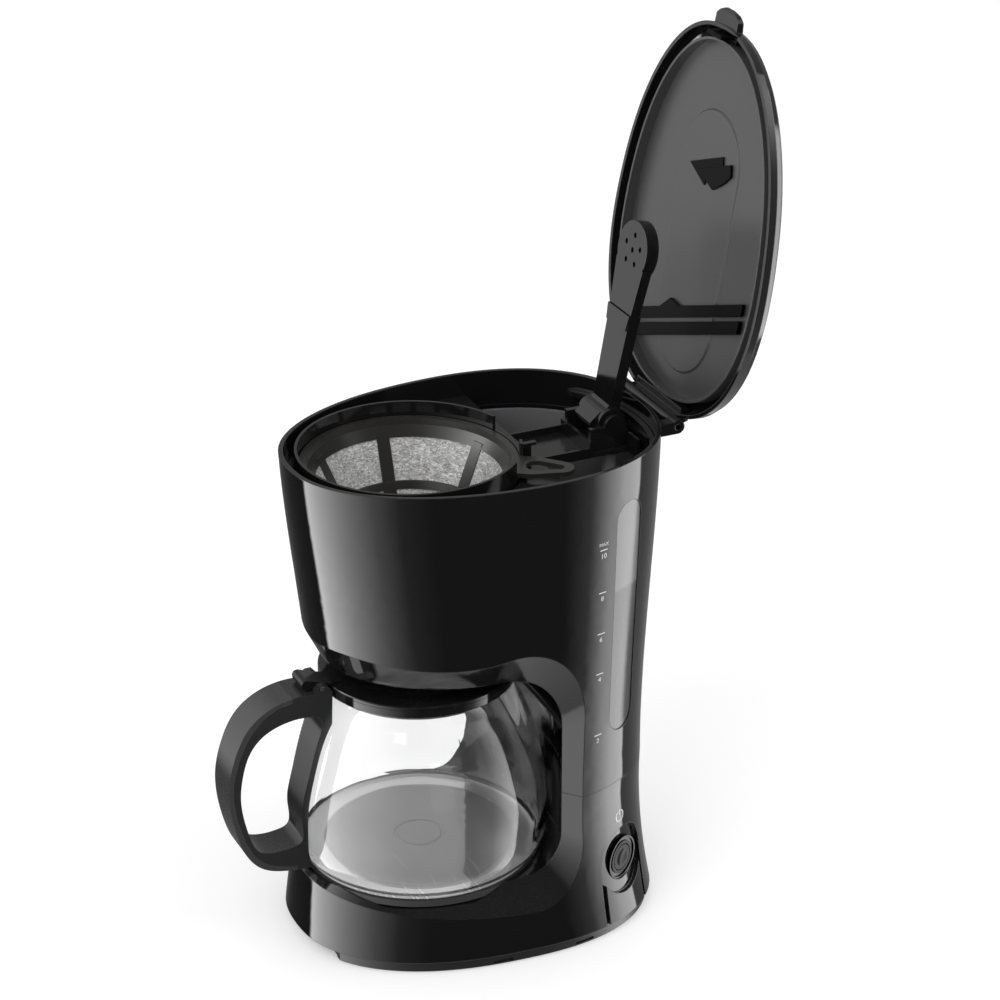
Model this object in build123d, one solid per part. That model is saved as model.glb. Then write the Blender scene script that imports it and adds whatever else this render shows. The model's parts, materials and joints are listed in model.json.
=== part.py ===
from build123d import *
import os
from functools import lru_cache
from math import asin, cos, pi, radians, sin, sqrt, tan

os.makedirs("parts", exist_ok=True)

# A drip coffee maker in millimetres, +Z up, front towards -Y, water gauge and switch on the +X side.
# Everything is laid out about the jug's axis and moved back by MID_DEPTH when it is written, so that
# the origin is under the middle of the whole object, at the foot of its feet.
MID_DEPTH = 38.035

# ---- driving dimensions ------------------------------------------------------------------------
WALL = 2.4                     # moulded wall of the casings
GAP = 0.4                      # free space between neighbouring mouldings
SEAM_Z = 95.0                  # where the upper housing stands on the base
RIM_Z = 294.4                  # open top edge of the upper housing
SHELL_FOOT_Z = 7.3             # lower edge of the base shell
# height, front end, back end, half width and squareness of the oval body
UPPER_ROWS = [
    (SEAM_Z, -60.0, 130.6, 76.0, 2.22),
    (192.5, -64.2, 134.0, 77.7, 2.22),
    (240.0, -69.8, 137.3, 78.8, 2.22),
    (RIM_Z, -74.8, 139.8, 79.5, 2.22),
]
BASE_ROWS = [
    (SHELL_FOOT_Z, -77.8, 136.6, 82.0, 2.37),
    (31.0, -75.3, 133.2, 79.6, 2.30),
    (58.0, -71.0, 131.2, 77.6, 2.22),
    (SEAM_Z, -60.0, 130.6, 76.0, 2.22),
]
EGG = 0.10                     # how much wider the ovals are behind their middle
OVAL_STEPS = 36

NICHE_HALF = 65.5              # half width of the niche between its bevels
NICHE_BACK = 59.0              # niche side edge, at that half width
NICHE_TOP = 173.5
NICHE_FLOOR = 45.3
TOP_MIDDLE, FLOOR_MIDDLE = 22.0, 32.0    # the bevels are widest here, and their corners begin
FLOOR_RUN = 3.0                # straight stretch between the floor's widest place and its corner
BACK_BEVEL, TOP_BEVEL, FLOOR_BEVEL = 0.87, 1.70, 1.05    # growth per mm outwards
NICHE_RADIUS = 118.0           # hollow back wall of the niche

JUG_RADIUS = 73.6
JUG_FLOOR = 46.0
NECK_RADIUS = 52.6
JUG_TOP = 158.0
GLASS = 2.2
LID_SKIRT_RADIUS, LID_TOP = 56.1, 161.1

BASKET_Y = -3.5                # axis of the basket, well and drip valve
BASKET_RING = 62.4
BASKET_TOP = 293.6

HINGE_Y, HINGE_Z = 144.4, 290.8
OPEN_ANGLE = 99.3              # how far the lid stands open
LID_FRONT, LID_BACK, LID_HALF = -75.0, 145.2, 84.2
LID_Z = 295.2                  # lower edge of the closed lid

PIVOT_Y, PIVOT_Z = 114.0, 290.0
ARM_TILT = 11.4                # the raised spout arm leans back from upright
ARM_LENGTH = 97.5              # pivot to the middle of the shower head

SWITCH_TURN, SWITCH_OUT, SWITCH_ALONG, SWITCH_Z = 30.0, 103.4, 52.7, 42.1
GAUGE_TURN, GAUGE_ALONG = 26.0, 56.0
GAUGE_LOW, GAUGE_HIGH, GAUGE_HALF = 128.6, 271.4, 10.4

PARTS = {}


# ---- shared shapes -----------------------------------------------------------------------------
def sign(value):
    return -1.0 if value < 0 else 1.0


def oval_points(front, back, half, z, inset=0.0, egg=EGG, power=2.22):
    reach, middle = (back - front) / 2 - inset, (back + front) / 2
    points = []
    for step in range(OVAL_STEPS):
        across, along = cos(2 * pi * step / OVAL_STEPS), sin(2 * pi * step / OVAL_STEPS)
        y = sign(along) * abs(along) ** (2 / power)
        x = sign(across) * abs(across) ** (2 / power) * (half - inset) * (1 + egg * y)
        points.append((x, middle + reach * y, z))
    return points


def oval_wire(*args, **options):
    return Wire([Edge.make_spline([Vector(*p) for p in oval_points(*args, **options)], periodic=True)])


def oval_loft(rows, inset=0.0, below=0.0, above=0.0, ruled=False, egg=EGG):
    """Body through oval rows, drawn in by inset and lengthened at its two ends."""
    wires = []
    for index, (z, front, back, half, power) in enumerate(rows):
        height = z - below * (index == 0) + above * (index == len(rows) - 1)
        wires.append(oval_wire(front, back, half, height, inset=inset, egg=egg, power=power))
    return Solid.make_loft(wires, ruled)


def block(x, y, z):
    """Box from its three (low, high) ranges."""
    size = [high - low for low, high in (x, y, z)]
    middle = [(high + low) / 2 for low, high in (x, y, z)]
    return Pos(*middle) * Box(*size)


def post(x, y, low, high, radius, top_radius=None):
    """Upright cylinder, or a cone when it has a second radius."""
    height = high - low
    if top_radius is None:
        return Pos(x, y, low + height / 2) * Cylinder(radius, height)
    return Pos(x, y, low + height / 2) * Cone(radius, top_radius, height)


def rod(start, end, radius):
    """Cylinder between two points."""
    start, end = Vector(*start), Vector(*end)
    plane = Plane(origin=start, z_dir=end - start)
    return Solid.make_cylinder(radius, (end - start).length, plane)


def turned(profile, x=0.0, y=0.0):
    """Solid of revolution about an upright axis, from (radius, height) corners."""
    wire = Wire.make_polygon([Vector(r, 0, z) for r, z in profile], close=True)
    return Pos(x, y, 0) * revolve(Face(wire), Axis.Z, 360)


def yz_face(points, x, smooth=False):
    """Face in the plane x from (y, z) corners or from a closed smooth line."""
    corners = [Vector(x, y, z) for y, z in points]
    if smooth:
        return Face(Wire([Edge.make_spline(corners, periodic=True)]))
    return Face(Wire.make_polygon(corners, close=True))


def slab_x(points, low, high, smooth=False):
    """Plate between two x planes with a (y, z) outline."""
    return extrude(yz_face(points, low, smooth), high - low, dir=(1, 0, 0))


def tube(points, radius, bore, bend):
    """Round pipe along straight runs with rounded corners."""
    path = FilletPolyline(*points, radius=bend)
    start = Plane(origin=path @ 0, z_dir=path % 0)
    section = start * Circle(radius)
    if bore:
        section -= start * Circle(bore)
    return sweep(section, path=path)


def mirrored(shape):
    return shape + mirror(shape, about=Plane.YZ)


def side_plane(turn, out, along, z):
    """Plane on the side wall: its normal is turned back from +X, its x runs along the wall."""
    a = radians(turn)
    origin = (out * cos(a) - along * sin(a), out * sin(a) + along * cos(a), z)
    return Plane(origin=origin, x_dir=(-sin(a), cos(a), 0), z_dir=(cos(a), sin(a), 0))


def save(name, shape):
    PARTS[name] = shape


# ---- the C-shaped body form --------------------------------------------------------------------
def niche_profile(x, inset):
    """Outline of the niche at a distance x from the middle, open to the front."""
    out = x - NICHE_HALF
    back = NICHE_BACK + BACK_BEVEL * out + 1.3 * inset
    top = NICHE_TOP + TOP_BEVEL * out + inset
    floor = NICHE_FLOOR - FLOOR_BEVEL * out - inset
    top_r, floor_r = back - TOP_MIDDLE, back - FLOOR_MIDDLE - FLOOR_RUN
    front, k = -150.0, sqrt(0.5)
    corners = [Vector(x, y, z) for y, z in (
        (front, floor), (back - floor_r, floor), (back - floor_r * (1 - k), floor + floor_r * (1 - k)),
        (back, floor + floor_r), (back, top - top_r), (back - top_r * (1 - k), top - top_r * (1 - k)),
        (back - top_r, top), (front, top))]
    return Wire([
        Edge.make_line(corners[0], corners[1]),
        Edge.make_three_point_arc(corners[1], corners[2], corners[3]),
        Edge.make_line(corners[3], corners[4]),
        Edge.make_three_point_arc(corners[4], corners[5], corners[6]),
        Edge.make_line(corners[6], corners[7]),
        Edge.make_line(corners[7], corners[0])])


def niche_back(inset, middle):
    """What the niche takes out of the body behind the place where a bevel is widest."""
    sides = mirrored(Solid.make_loft([niche_profile(NICHE_HALF, inset), niche_profile(96.0, inset)], True))
    reach = NICHE_RADIUS + inset
    axis_y = NICHE_BACK - sqrt(NICHE_RADIUS ** 2 - NICHE_HALF ** 2)
    shoulder = NICHE_TOP - (NICHE_BACK - TOP_MIDDLE)
    rise = NICHE_TOP + inset - shoulder
    hollow = post(0, axis_y, NICHE_FLOOR - inset, shoulder, reach)
    hollow += post(0, axis_y, shoulder, shoulder + rise, reach, reach - rise * tan(radians(30)))
    hollow &= block((-NICHE_HALF, NICHE_HALF), (-300, 300), (0, 300))
    return (sides + hollow) & block((-100, 100), (middle, 200), (0, 300))


def front_cone(z, height, front, middle, power, growth, inset):
    """Bevelled front end: an oval at height z that widens over height (negative: downwards)."""
    wires = []
    for level in (0.0, abs(height)):
        along = middle - front - inset + growth[0] * level
        across = NICHE_HALF - inset + growth[1] * level
        wires.append(oval_wire(middle - along, middle + along, across, z + level * sign(height), egg=0.0, power=power))
    return Solid.make_loft(wires, True)


@lru_cache(maxsize=None)
def upper_form(inset=0.0, below=0.0, above=0.0):
    full = oval_loft(UPPER_ROWS, inset, below, above)
    floor = NICHE_TOP + inset
    cut = block((-100, 100), (-150, TOP_MIDDLE), (50, floor + 40))
    cut -= front_cone(floor, 40.0, -56.0, TOP_MIDDLE, 1.9, (0.50, 1 / TOP_BEVEL), inset)
    return full - niche_back(inset, TOP_MIDDLE) - cut


@lru_cache(maxsize=None)
def base_form(inset=0.0, below=0.0, above=0.0):
    full = oval_loft(BASE_ROWS, inset, below, above)
    top = NICHE_FLOOR - inset
    cut = block((-100, 100), (-150, FLOOR_MIDDLE), (top - 40, 150))
    cut -= front_cone(top, -40.0, -71.5, FLOOR_MIDDLE, 2.22, (0.95, 1 / FLOOR_BEVEL), inset)
    return full - niche_back(inset, FLOOR_MIDDLE) - cut


def gauge_slot(grow, start, end):
    """Upright slot with round ends, through the side wall."""
    plane = side_plane(GAUGE_TURN, start, GAUGE_ALONG, (GAUGE_LOW + GAUGE_HIGH) / 2)
    length = GAUGE_HIGH - GAUGE_LOW + 2 * grow
    return extrude(plane * Rot(0, 0, 90) * SlotOverall(length, 2 * (GAUGE_HALF + grow)), end - start)


ARCH_RADIUS = 20.5


def arch(grow, start, end):
    """Arch that stands round the switch, from the foot of the base up."""
    radius = ARCH_RADIUS + grow
    plane = side_plane(SWITCH_TURN, start, SWITCH_ALONG, SWITCH_Z)
    outline = Circle(radius) + Pos(0, -30) * Rectangle(2 * radius, 60)
    return extrude(plane * outline, end - start)


def switch_disc(radius, start, end):
    plane = side_plane(SWITCH_TURN, start, SWITCH_ALONG, SWITCH_Z)
    return extrude(plane * Circle(radius), end - start)


# ---- casings -----------------------------------------------------------------------------------
SCREW_POSTS = [(58.0, 97.0), (-58.0, 97.0)]
EAR_LOW, EAR_HIGH = 27.0, 34.0
BARREL_RADIUS = 4.0
PIN_RADIUS, PIN_RECESS = 1.8, 1.4
PIN_FIT = 0.06
DRIP_HOLE = 11.0               # radius of the hole in the overhang that the drip spout comes through


def barrel(low, high, radius, y=None, z=None):
    """Cylinder along X about the lid hinge, or about another axis."""
    y, z = (HINGE_Y, HINGE_Z) if y is None else (y, z)
    return rod((low, y, z), (high, y, z), radius)


def hinge_ears():
    front = HINGE_Y - 16.0
    outline = [(front, HINGE_Z - BARREL_RADIUS), (HINGE_Y, HINGE_Z - BARREL_RADIUS), (HINGE_Y, HINGE_Z + 3.2),
               (front, HINGE_Z + 2.6)]
    ears = slab_x(outline, EAR_LOW, EAR_HIGH) + barrel(EAR_LOW, EAR_HIGH, BARREL_RADIUS)
    return mirrored(ears)


def upper_housing():
    inside = upper_form(WALL, below=1, above=5)
    shell = upper_form() - inside
    posts = Part() + [post(x, y, SEAM_Z, 100.5, 5.0) & upper_form(1.0) for x, y in SCREW_POSTS]
    shell += posts
    shell += hinge_ears() - inside
    holes = [post(x, y, SEAM_Z - 1, 99.5, 1.6) for x, y in SCREW_POSTS]
    holes += [barrel(-60, 60, PIN_RADIUS), gauge_slot(0.0, 90, 120),
              post(0, BASKET_Y, NICHE_TOP - 5, NICHE_TOP + 8, DRIP_HOLE)]
    save("upper_housing", shell - holes)


def gauge_window():
    face = (upper_form(0.5) - upper_form(WALL + 0.3)) & gauge_slot(-0.15, 90, 120)
    flange = (upper_form(WALL + 0.1) - upper_form(WALL + 1.3)) & gauge_slot(2.6, 90, 120)
    save("gauge_window", face + flange)
    seal = (upper_form(WALL + 1.4) - upper_form(WALL + 2.2)) & (gauge_slot(2.6, 90, 120) - gauge_slot(0.2, 90, 120))
    save("gauge_gasket", seal)


TANK_INSET, TANK_WALL = WALL + 2.4, 1.8
TANK_FLOOR, TANK_TOP, TANK_FRONT = 101.5, 272.0, 66.5
RISER_Y, RISER_TOP = 119.0, 277.2
RISER_RADIUS, RISER_BORE = 4.0, 2.8
SPIGOT = (-22.0, 104.0)


def water_tank():
    outer = upper_form(TANK_INSET) & block((-100, 100), (TANK_FRONT, 160), (TANK_FLOOR, TANK_TOP))
    inner = upper_form(TANK_INSET + TANK_WALL)
    inner &= block((-100, 100), (TANK_FRONT + TANK_WALL, 160), (TANK_FLOOR + TANK_WALL, TANK_TOP + 5))
    tank = outer - inner
    tank += post(0, RISER_Y, TANK_FLOOR, TANK_FLOOR + 7, 6.6)
    tank += post(*SPIGOT, 92.0, TANK_FLOOR + 0.5, 4.0)
    tank -= post(0, RISER_Y, TANK_FLOOR - 1, TANK_FLOOR + 8, RISER_RADIUS + 0.05)
    tank -= post(*SPIGOT, 91.0, TANK_FLOOR + 8, 2.6)
    save("water_tank", tank)
    save("riser_tube", post(0, RISER_Y, 96.0, RISER_TOP, RISER_RADIUS) - post(0, RISER_Y, 95.0, 282.0, RISER_BORE))


# ---- top deck: basket well, arm trough and spout tower -------------------------------------------
DECK_Z, DECK_THICK = 279.0, 2.0
WELL_TOP_RADIUS, WELL_FOOT_RADIUS, WELL_FOOT_Z = 65.0, 46.5, 178.5
WELL_WALL = 1.6
TROUGH_HALF, TROUGH_FLOOR, TROUGH_TOP = 17.0, 276.0, 280.4
TOWER_FRONT, TOWER_BACK = 97.5, 129.0
CHEEK_IN, CHEEK_OUT, CHEEK_TOP = 13.2, 16.4, 290.4
ARM_PIN = 2.4


def top_deck():
    plate = upper_form(WALL + GAP) & block((-100, 100), (-90, TANK_FRONT - 1.5), (DECK_Z, DECK_Z + DECK_THICK))
    well = turned([(WELL_TOP_RADIUS, DECK_Z + DECK_THICK), (WELL_FOOT_RADIUS, WELL_FOOT_Z), (10.2, WELL_FOOT_Z),
                   (10.2, WELL_FOOT_Z + WELL_WALL), (WELL_FOOT_RADIUS - WELL_WALL, WELL_FOOT_Z + WELL_WALL),
                   (WELL_TOP_RADIUS - WELL_WALL, DECK_Z + DECK_THICK)], y=BASKET_Y)
    opening = turned([(WELL_TOP_RADIUS - 0.8, DECK_Z + 5), (WELL_TOP_RADIUS - 0.8, DECK_Z - 3), (0, DECK_Z - 3),
                      (0, DECK_Z + 5)], y=BASKET_Y)
    deck = (plate - opening) + well
    floor = block((-TROUGH_HALF - 1.6, TROUGH_HALF + 1.6), (TANK_FRONT - 3, TOWER_FRONT), (TROUGH_FLOOR - 1.6, TROUGH_FLOOR))
    sides = mirrored(block((TROUGH_HALF, TROUGH_HALF + 1.6), (TANK_FRONT - 3, TOWER_FRONT), (TROUGH_FLOOR - 1.6, TROUGH_TOP)))
    lip = block((-TROUGH_HALF, TROUGH_HALF), (TANK_FRONT - 3, TANK_FRONT - 1.5), (TROUGH_FLOOR - 1.6, DECK_Z + 1))
    save("top_deck", deck + floor + sides + lip)


def spout_tower():
    base = block((-18.5, 18.5), (TOWER_FRONT + 0.1, TOWER_BACK), (TROUGH_FLOOR - 1.6, TROUGH_FLOOR + 0.9))
    ridge = block((-18.5, 18.5), (TOWER_FRONT + 0.1, TOWER_FRONT + 2.1), (TROUGH_FLOOR, 284.0))
    outline = [(TOWER_FRONT + 1.5, TROUGH_FLOOR), (125.5, TROUGH_FLOOR), (121.0, CHEEK_TOP), (TOWER_FRONT + 1.5, CHEEK_TOP)]
    cheek = slab_x(outline, CHEEK_IN, CHEEK_OUT) + barrel(CHEEK_IN, CHEEK_OUT, 6.2, PIVOT_Y, PIVOT_Z)
    wings = [block((18.4, 30.0), (y, y + 1.8), (TROUGH_FLOOR - 1.6, 286.0)) for y in (121.0, 126.8)]
    tower = base + ridge + mirrored(cheek) + mirrored(wings[0]) + mirrored(wings[1])
    tower += post(0, RISER_Y, 268.0, TROUGH_FLOOR, 7.0)
    tower -= post(0, RISER_Y, 260.0, 290.0, RISER_RADIUS + 0.05)
    socket = CHEEK_OUT - 1.0
    tower -= barrel(-socket, socket, ARM_PIN, PIVOT_Y, PIVOT_Z)
    save("spout_tower", tower)
    save("arm_pin", barrel(-socket + 0.2, socket - 0.2, ARM_PIN - PIN_FIT, PIVOT_Y, PIVOT_Z))
    rib = upper_form(WALL + GAP) - upper_form(WALL + GAP + 3.2)
    save("rear_rim", rib & block((-52, 52), (118, 160), (DECK_Z + 3.0, DECK_Z + 6.0)))


def hinge_pin():
    save("hinge_pin", barrel(-EAR_HIGH + PIN_RECESS, EAR_HIGH - PIN_RECESS, PIN_RADIUS - PIN_FIT))


# ---- base --------------------------------------------------------------------------------------
PLATE_RADIUS, PLATE_TOP, PLATE_THICK = 67.0, 45.7, 1.6
CORD_Z, CORD_RADIUS, CORD_COLLAR = 24.0, 4.6, 7.6
ARCH_DEPTH = 2.2               # depth of the recess round the switch, and of the grooves down from it
PANEL_HALF = 17.6              # half the width of the flush panel between the grooves
BEZEL_RADIUS, BUTTON_RADIUS = 13.0, 10.0


def base_shell():
    inside = base_form(WALL, below=1, above=1)
    shell = base_form() - inside
    backing = (base_form(1.0) - base_form(ARCH_DEPTH + WALL)) & arch(WALL, 80, 130)
    added = [backing, rod((0, 137, CORD_Z), (0, 124.5, CORD_Z), CORD_COLLAR)]
    panel = side_plane(SWITCH_TURN, 80, SWITCH_ALONG, SWITCH_Z) * Pos(0, -30) * Rectangle(2 * PANEL_HALF, 60)
    panel = extrude(panel, 50) - switch_disc(ARCH_RADIUS, 79, 131)
    holes = [arch(0.0, 80, 130) - panel - base_form(ARCH_DEPTH),
             switch_disc(BEZEL_RADIUS + 2.2, SWITCH_OUT - 14, SWITCH_OUT - 2.6),
             switch_disc(BEZEL_RADIUS + 0.2, SWITCH_OUT - 10, SWITCH_OUT + 5),
             rod((0, 145, CORD_Z), (0, 110, CORD_Z), CORD_RADIUS),
             post(0, 0, NICHE_FLOOR - 6, NICHE_FLOOR + 3, PLATE_RADIUS + 2.3)]
    for x, y in SCREW_POSTS:
        added.append(post(x, y, SEAM_Z - 8, SEAM_Z, 5.0))
        holes.append(post(x, y, SEAM_Z - 12, SEAM_Z + 1, 2.0))
    for x, y in PLATE_SCREWS:
        added.append(post(x, y, 12.0, 26.0, 4.0))
        added.append(block(sorted((x, x * 1.38)), (y - 1.2, y + 1.2), (12.0, 26.0)))
        holes.append(post(x, y, 11.0, 22.0, 1.3))
    save("base_shell", shell + ((Part() + added) & base_form(1.0)) - holes)


PLATE_SCREWS = [(62.0, -18.0), (-62.0, -18.0), (52.0, 88.0), (-58.0, 88.0)]
FEET = [(44.0, -42.0), (-44.0, -42.0), (46.0, 100.0), (-46.0, 100.0)]
FOOT_HEIGHT, FOOT_RADIUS = 3.4, 8.5
PAN_INSET, PAN_Z, PAN_TOP = 6.5, 2.0, 11.5
PLINTH_INSET, PLINTH_Z, PLINTH_FRONT = 2.1, 0.8, -66.0
PLINTH_SLOTS = (11.0, 62.0)    # places of the slots in the plinth's sides
VENT_ROWS, VENT_START, VENT_PITCH = 7, 5.0, 7.0


def oval_slab(low, high, inset):
    """Plate with the outline of the base's lower edge, drawn in by inset."""
    _, front, back, half, power = BASE_ROWS[0]
    return extrude(Face(oval_wire(front, back, half, low, inset=inset, power=power)), high - low, dir=(0, 0, 1))


def bottom_plate():
    pan = oval_slab(PAN_Z, PAN_TOP, PAN_INSET) - oval_slab(PAN_Z + 2.0, PAN_TOP + 1, PAN_INSET + 2.0)
    plinth = oval_slab(PLINTH_Z, SHELL_FOOT_Z - 0.4, PLINTH_INSET)
    plinth -= oval_slab(PLINTH_Z - 1, PAN_Z, PLINTH_INSET + 2.0) + oval_slab(PAN_Z + 2.0, 20.0, PLINTH_INSET + 2.0)
    pan += plinth & block((-100, 100), (PLINTH_FRONT, 200), (0, 20))
    holes = []
    for y in PLINTH_SLOTS:
        slot = block((60, 100), (y, y + 12.0), (1.6, 3.2)) - oval_slab(0, 10, PLINTH_INSET + 1.2)
        holes += [slot, mirror(slot, about=Plane.YZ)]
    for x, y in PLATE_SCREWS:
        pan += post(x, y, PAN_Z, PAN_TOP, 4.6)
        holes += [post(x, y, PAN_Z - 1, PAN_TOP + 1, 1.8), post(x, y, PAN_Z - 1, PAN_Z + 4.0, 3.6)]
    for row in range(VENT_ROWS):
        y = VENT_START + VENT_PITCH * row
        holes.append(block((-16, 16), (y, y + 2.6), (PAN_Z - 1, PAN_Z + 3)))
    holes += [post(x, y, PAN_Z - 1, PAN_Z + 1.0, FOOT_RADIUS + 0.1) for x, y in FEET]
    save("bottom_plate", pan - holes)
    feet = Part() + [post(x, y, 0, FOOT_HEIGHT - 0.5, FOOT_RADIUS - 0.8, FOOT_RADIUS) for x, y in FEET]
    save("rubber_feet", feet)
    screws = [post(x, y, PAN_Z + 1.2, PAN_Z + 3.9, 3.3) + post(x, y, PAN_Z + 3.8, 21.5, 1.25)
              - block((x - 2, x + 2), (y - 0.4, y + 0.4), (PAN_Z, PAN_Z + 2.0)) for x, y in PLATE_SCREWS]
    save("base_screws", Part() + screws)
    long_screws = [post(x, y, SEAM_Z - 11.2, SEAM_Z - 8.1, 2.9) + post(x, y, SEAM_Z - 8.2, 99.3, 1.5)
                   for x, y in SCREW_POSTS]
    save("housing_screws", Part() + long_screws)


# ---- hot plate and boiler ------------------------------------------------------------------------
BOILER_RADIUS, BOILER_PIPE, BOILER_Z = 46.0, 6.4, 35.0
BOILER_HALF_GAP = 26.0         # degrees each side of the open end
CLAMP_TURNS = (-90.0, 20.0, 160.0)


def ring(radius, y, z, pipe, start, end):
    """Part of a torus about an upright axis, between two angles in degrees."""
    a = radians(start)
    path = CenterArc((0, y, z), radius, start, end - start)
    plane = Plane(origin=(radius * cos(a), y + radius * sin(a), z), z_dir=path % 0)
    return sweep(plane * Circle(pipe), path=path)


def boiler():
    turn = radians(90 + BOILER_HALF_GAP)
    start, end = 90 + BOILER_HALF_GAP, 450 - BOILER_HALF_GAP
    pipe = ring(BOILER_RADIUS, 0, BOILER_Z, BOILER_PIPE, start, end)
    side, depth = -BOILER_RADIUS * cos(turn), BOILER_RADIUS * sin(turn)
    for x in (-side, side):
        pipe += Pos(x, depth, BOILER_Z) * Sphere(BOILER_PIPE)
        pipe += rod((x, depth, BOILER_Z), (x, depth + 16, BOILER_Z), 4.2)
    save("boiler_tube", pipe)
    heater = ring(BOILER_RADIUS - 11.6, 0, BOILER_Z + 2.0, 4.0, start, end)
    save("heating_element", heater)
    plate = turned([(0, PLATE_TOP - PLATE_THICK), (PLATE_RADIUS, PLATE_TOP - PLATE_THICK), (PLATE_RADIUS, PLATE_TOP - 0.5),
                    (56.0, PLATE_TOP - 0.5), (53.5, PLATE_TOP), (15.0, PLATE_TOP), (14.2, PLATE_TOP - 0.5),
                    (13.0, PLATE_TOP - 0.5), (12.2, PLATE_TOP), (0, PLATE_TOP)])
    rim = post(0, 0, PLATE_TOP - 5, PLATE_TOP - 1.5, PLATE_RADIUS) - post(0, 0, PLATE_TOP - 6, PLATE_TOP, PLATE_RADIUS - 1.5)
    save("hot_plate", plate + rim)
    seal = post(0, 0, PLATE_TOP - 4.5, PLATE_TOP - 0.6, PLATE_RADIUS + 2.1)
    seal -= post(0, 0, PLATE_TOP - 6, PLATE_TOP, PLATE_RADIUS + 0.1)
    save("plate_seal", seal)
    clamps, screws = Part(), Part()
    for turn in CLAMP_TURNS:
        place = Rot(0, 0, turn)
        bar = block((28.0, 58.0), (-5, 5), (BOILER_Z - BOILER_PIPE - 2.4, BOILER_Z - BOILER_PIPE - 0.4))
        bar += block((55.0, 58.0), (-5, 5), (BOILER_Z - BOILER_PIPE - 1.4, PLATE_TOP - PLATE_THICK - 0.1))
        bar += block((28.0, 30.0), (-5, 5), (BOILER_Z - BOILER_PIPE - 1.4, PLATE_TOP - PLATE_THICK - 0.1))
        hole = post(24.0, 0, 20, 50, 2.0)
        foot = block((20.0, 29.0), (-5, 5), (PLATE_TOP - PLATE_THICK - 1.7, PLATE_TOP - PLATE_THICK - 0.1)) - hole
        clamps += place * (bar + foot)
        screws += place * (post(24.0, 0, 37.5, 40.0, 3.4) + post(24.0, 0, 39.9, PLATE_TOP - PLATE_THICK - 0.1, 1.9))
    save("heater_clamps", clamps)
    save("clamp_screws", screws)
    top = PLATE_TOP - PLATE_THICK - 0.1
    thermostat = post(0, 0, top - 3, top, 12.0) + post(0, 0, top - 12, top - 2.9, 8.0)
    thermostat += mirrored(block((3, 4), (-3, 3), (top - 20, top - 11.9)))
    save("thermostat", thermostat)
    fuses = [rod((-12, y, top - 4.0), (12, y, top - 4.0), 2.2) + rod((-17, y, top - 4.0), (17, y, top - 4.0), 0.7)
             for y in (17.0, -17.0)]
    save("thermal_fuses", Part() + fuses)
    return side, depth + 16


HOSE_RADIUS, HOSE_BORE = 5.6, 4.25


def hoses(side, depth):
    x, y = SPIGOT
    clear = 0.05
    valve_y = depth + 16
    body = rod((-side, valve_y - 6, BOILER_Z), (-side, valve_y + 6, BOILER_Z), 6.5)
    body += rod((-side, valve_y - 14, BOILER_Z), (-side, valve_y + 14, BOILER_Z), 4.1)
    save("check_valve", body)
    short = rod((-side, depth - 8, BOILER_Z), (-side, valve_y - 6.1, BOILER_Z), HOSE_RADIUS)
    short -= rod((-side, depth - 9, BOILER_Z), (-side, valve_y - 5, BOILER_Z), HOSE_BORE + clear)
    start = (-side, valve_y + 6.2, BOILER_Z)
    feed = tube([start, (-side, y, BOILER_Z), (x, y, 62.0), (x, y, TANK_FLOOR - 0.4)], HOSE_RADIUS, HOSE_BORE, 14.0)
    save("inlet_hose", Part() + [short, feed])
    start = (side, depth - 8, BOILER_Z)
    lift = tube([start, (side, 96.0, BOILER_Z), (0, RISER_Y, 60.0), (0, RISER_Y, TANK_FLOOR - 0.4)],
                HOSE_RADIUS, HOSE_BORE, 14.0)
    save("outlet_hose", lift)
    clips = []
    for place_x, place_y, place_z in ((x, y, 95.5), (0, RISER_Y, 98.0)):
        clips.append(post(place_x, place_y, place_z - 1.5, place_z + 1.5, HOSE_RADIUS + 1.1)
                     - post(place_x, place_y, place_z - 2, place_z + 2, HOSE_RADIUS + 0.05))
    for place_x in (-side, side):
        outer = rod((place_x, depth - 5, BOILER_Z), (place_x, depth - 2, BOILER_Z), HOSE_RADIUS + 1.1)
        clips.append(outer - rod((place_x, depth - 6, BOILER_Z), (place_x, depth, BOILER_Z), HOSE_RADIUS + 0.05))
    save("hose_clips", Part() + clips)


# ---- switch ------------------------------------------------------------------------------------
TERMINALS = (-4.0, 0.5, 5.0)      # places of the switch's blades along the wall


def switch():
    bezel = switch_disc(BEZEL_RADIUS, SWITCH_OUT - 7, SWITCH_OUT + 2.2) - switch_disc(BUTTON_RADIUS + 0.12, 80, 120)
    bezel -= switch_disc(BEZEL_RADIUS - 1.0, SWITCH_OUT + 1.4, SWITCH_OUT + 5)
    bezel += switch_disc(BEZEL_RADIUS + 1.4, SWITCH_OUT - 5.4, SWITCH_OUT - 2.7) - switch_disc(BEZEL_RADIUS - 1, 80, 120)
    save("switch_bezel", bezel)
    dish = side_plane(SWITCH_TURN, SWITCH_OUT + 23.4, SWITCH_ALONG, SWITCH_Z) * Sphere(22.0)
    button = switch_disc(BUTTON_RADIUS, SWITCH_OUT - 9, SWITCH_OUT + 2.0) - dish
    button -= switch_disc(8.2, SWITCH_OUT + 0.9, SWITCH_OUT + 5) - switch_disc(7.6, SWITCH_OUT, SWITCH_OUT + 5)
    button += switch_disc(4.0, SWITCH_OUT - 14, SWITCH_OUT - 8.9)
    save("power_button", button)
    plane = side_plane(SWITCH_TURN, SWITCH_OUT - 30, SWITCH_ALONG, SWITCH_Z)
    body = extrude(plane * Rectangle(17, 14), 13)
    for offset in TERMINALS:
        blade = side_plane(SWITCH_TURN, SWITCH_OUT - 33, SWITCH_ALONG + offset, SWITCH_Z) * Rectangle(1, 5)
        body += extrude(blade, 3.1)
    save("switch_body", body)


# ---- lid ---------------------------------------------------------------------------------------
LID_EGG = 0.12
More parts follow.
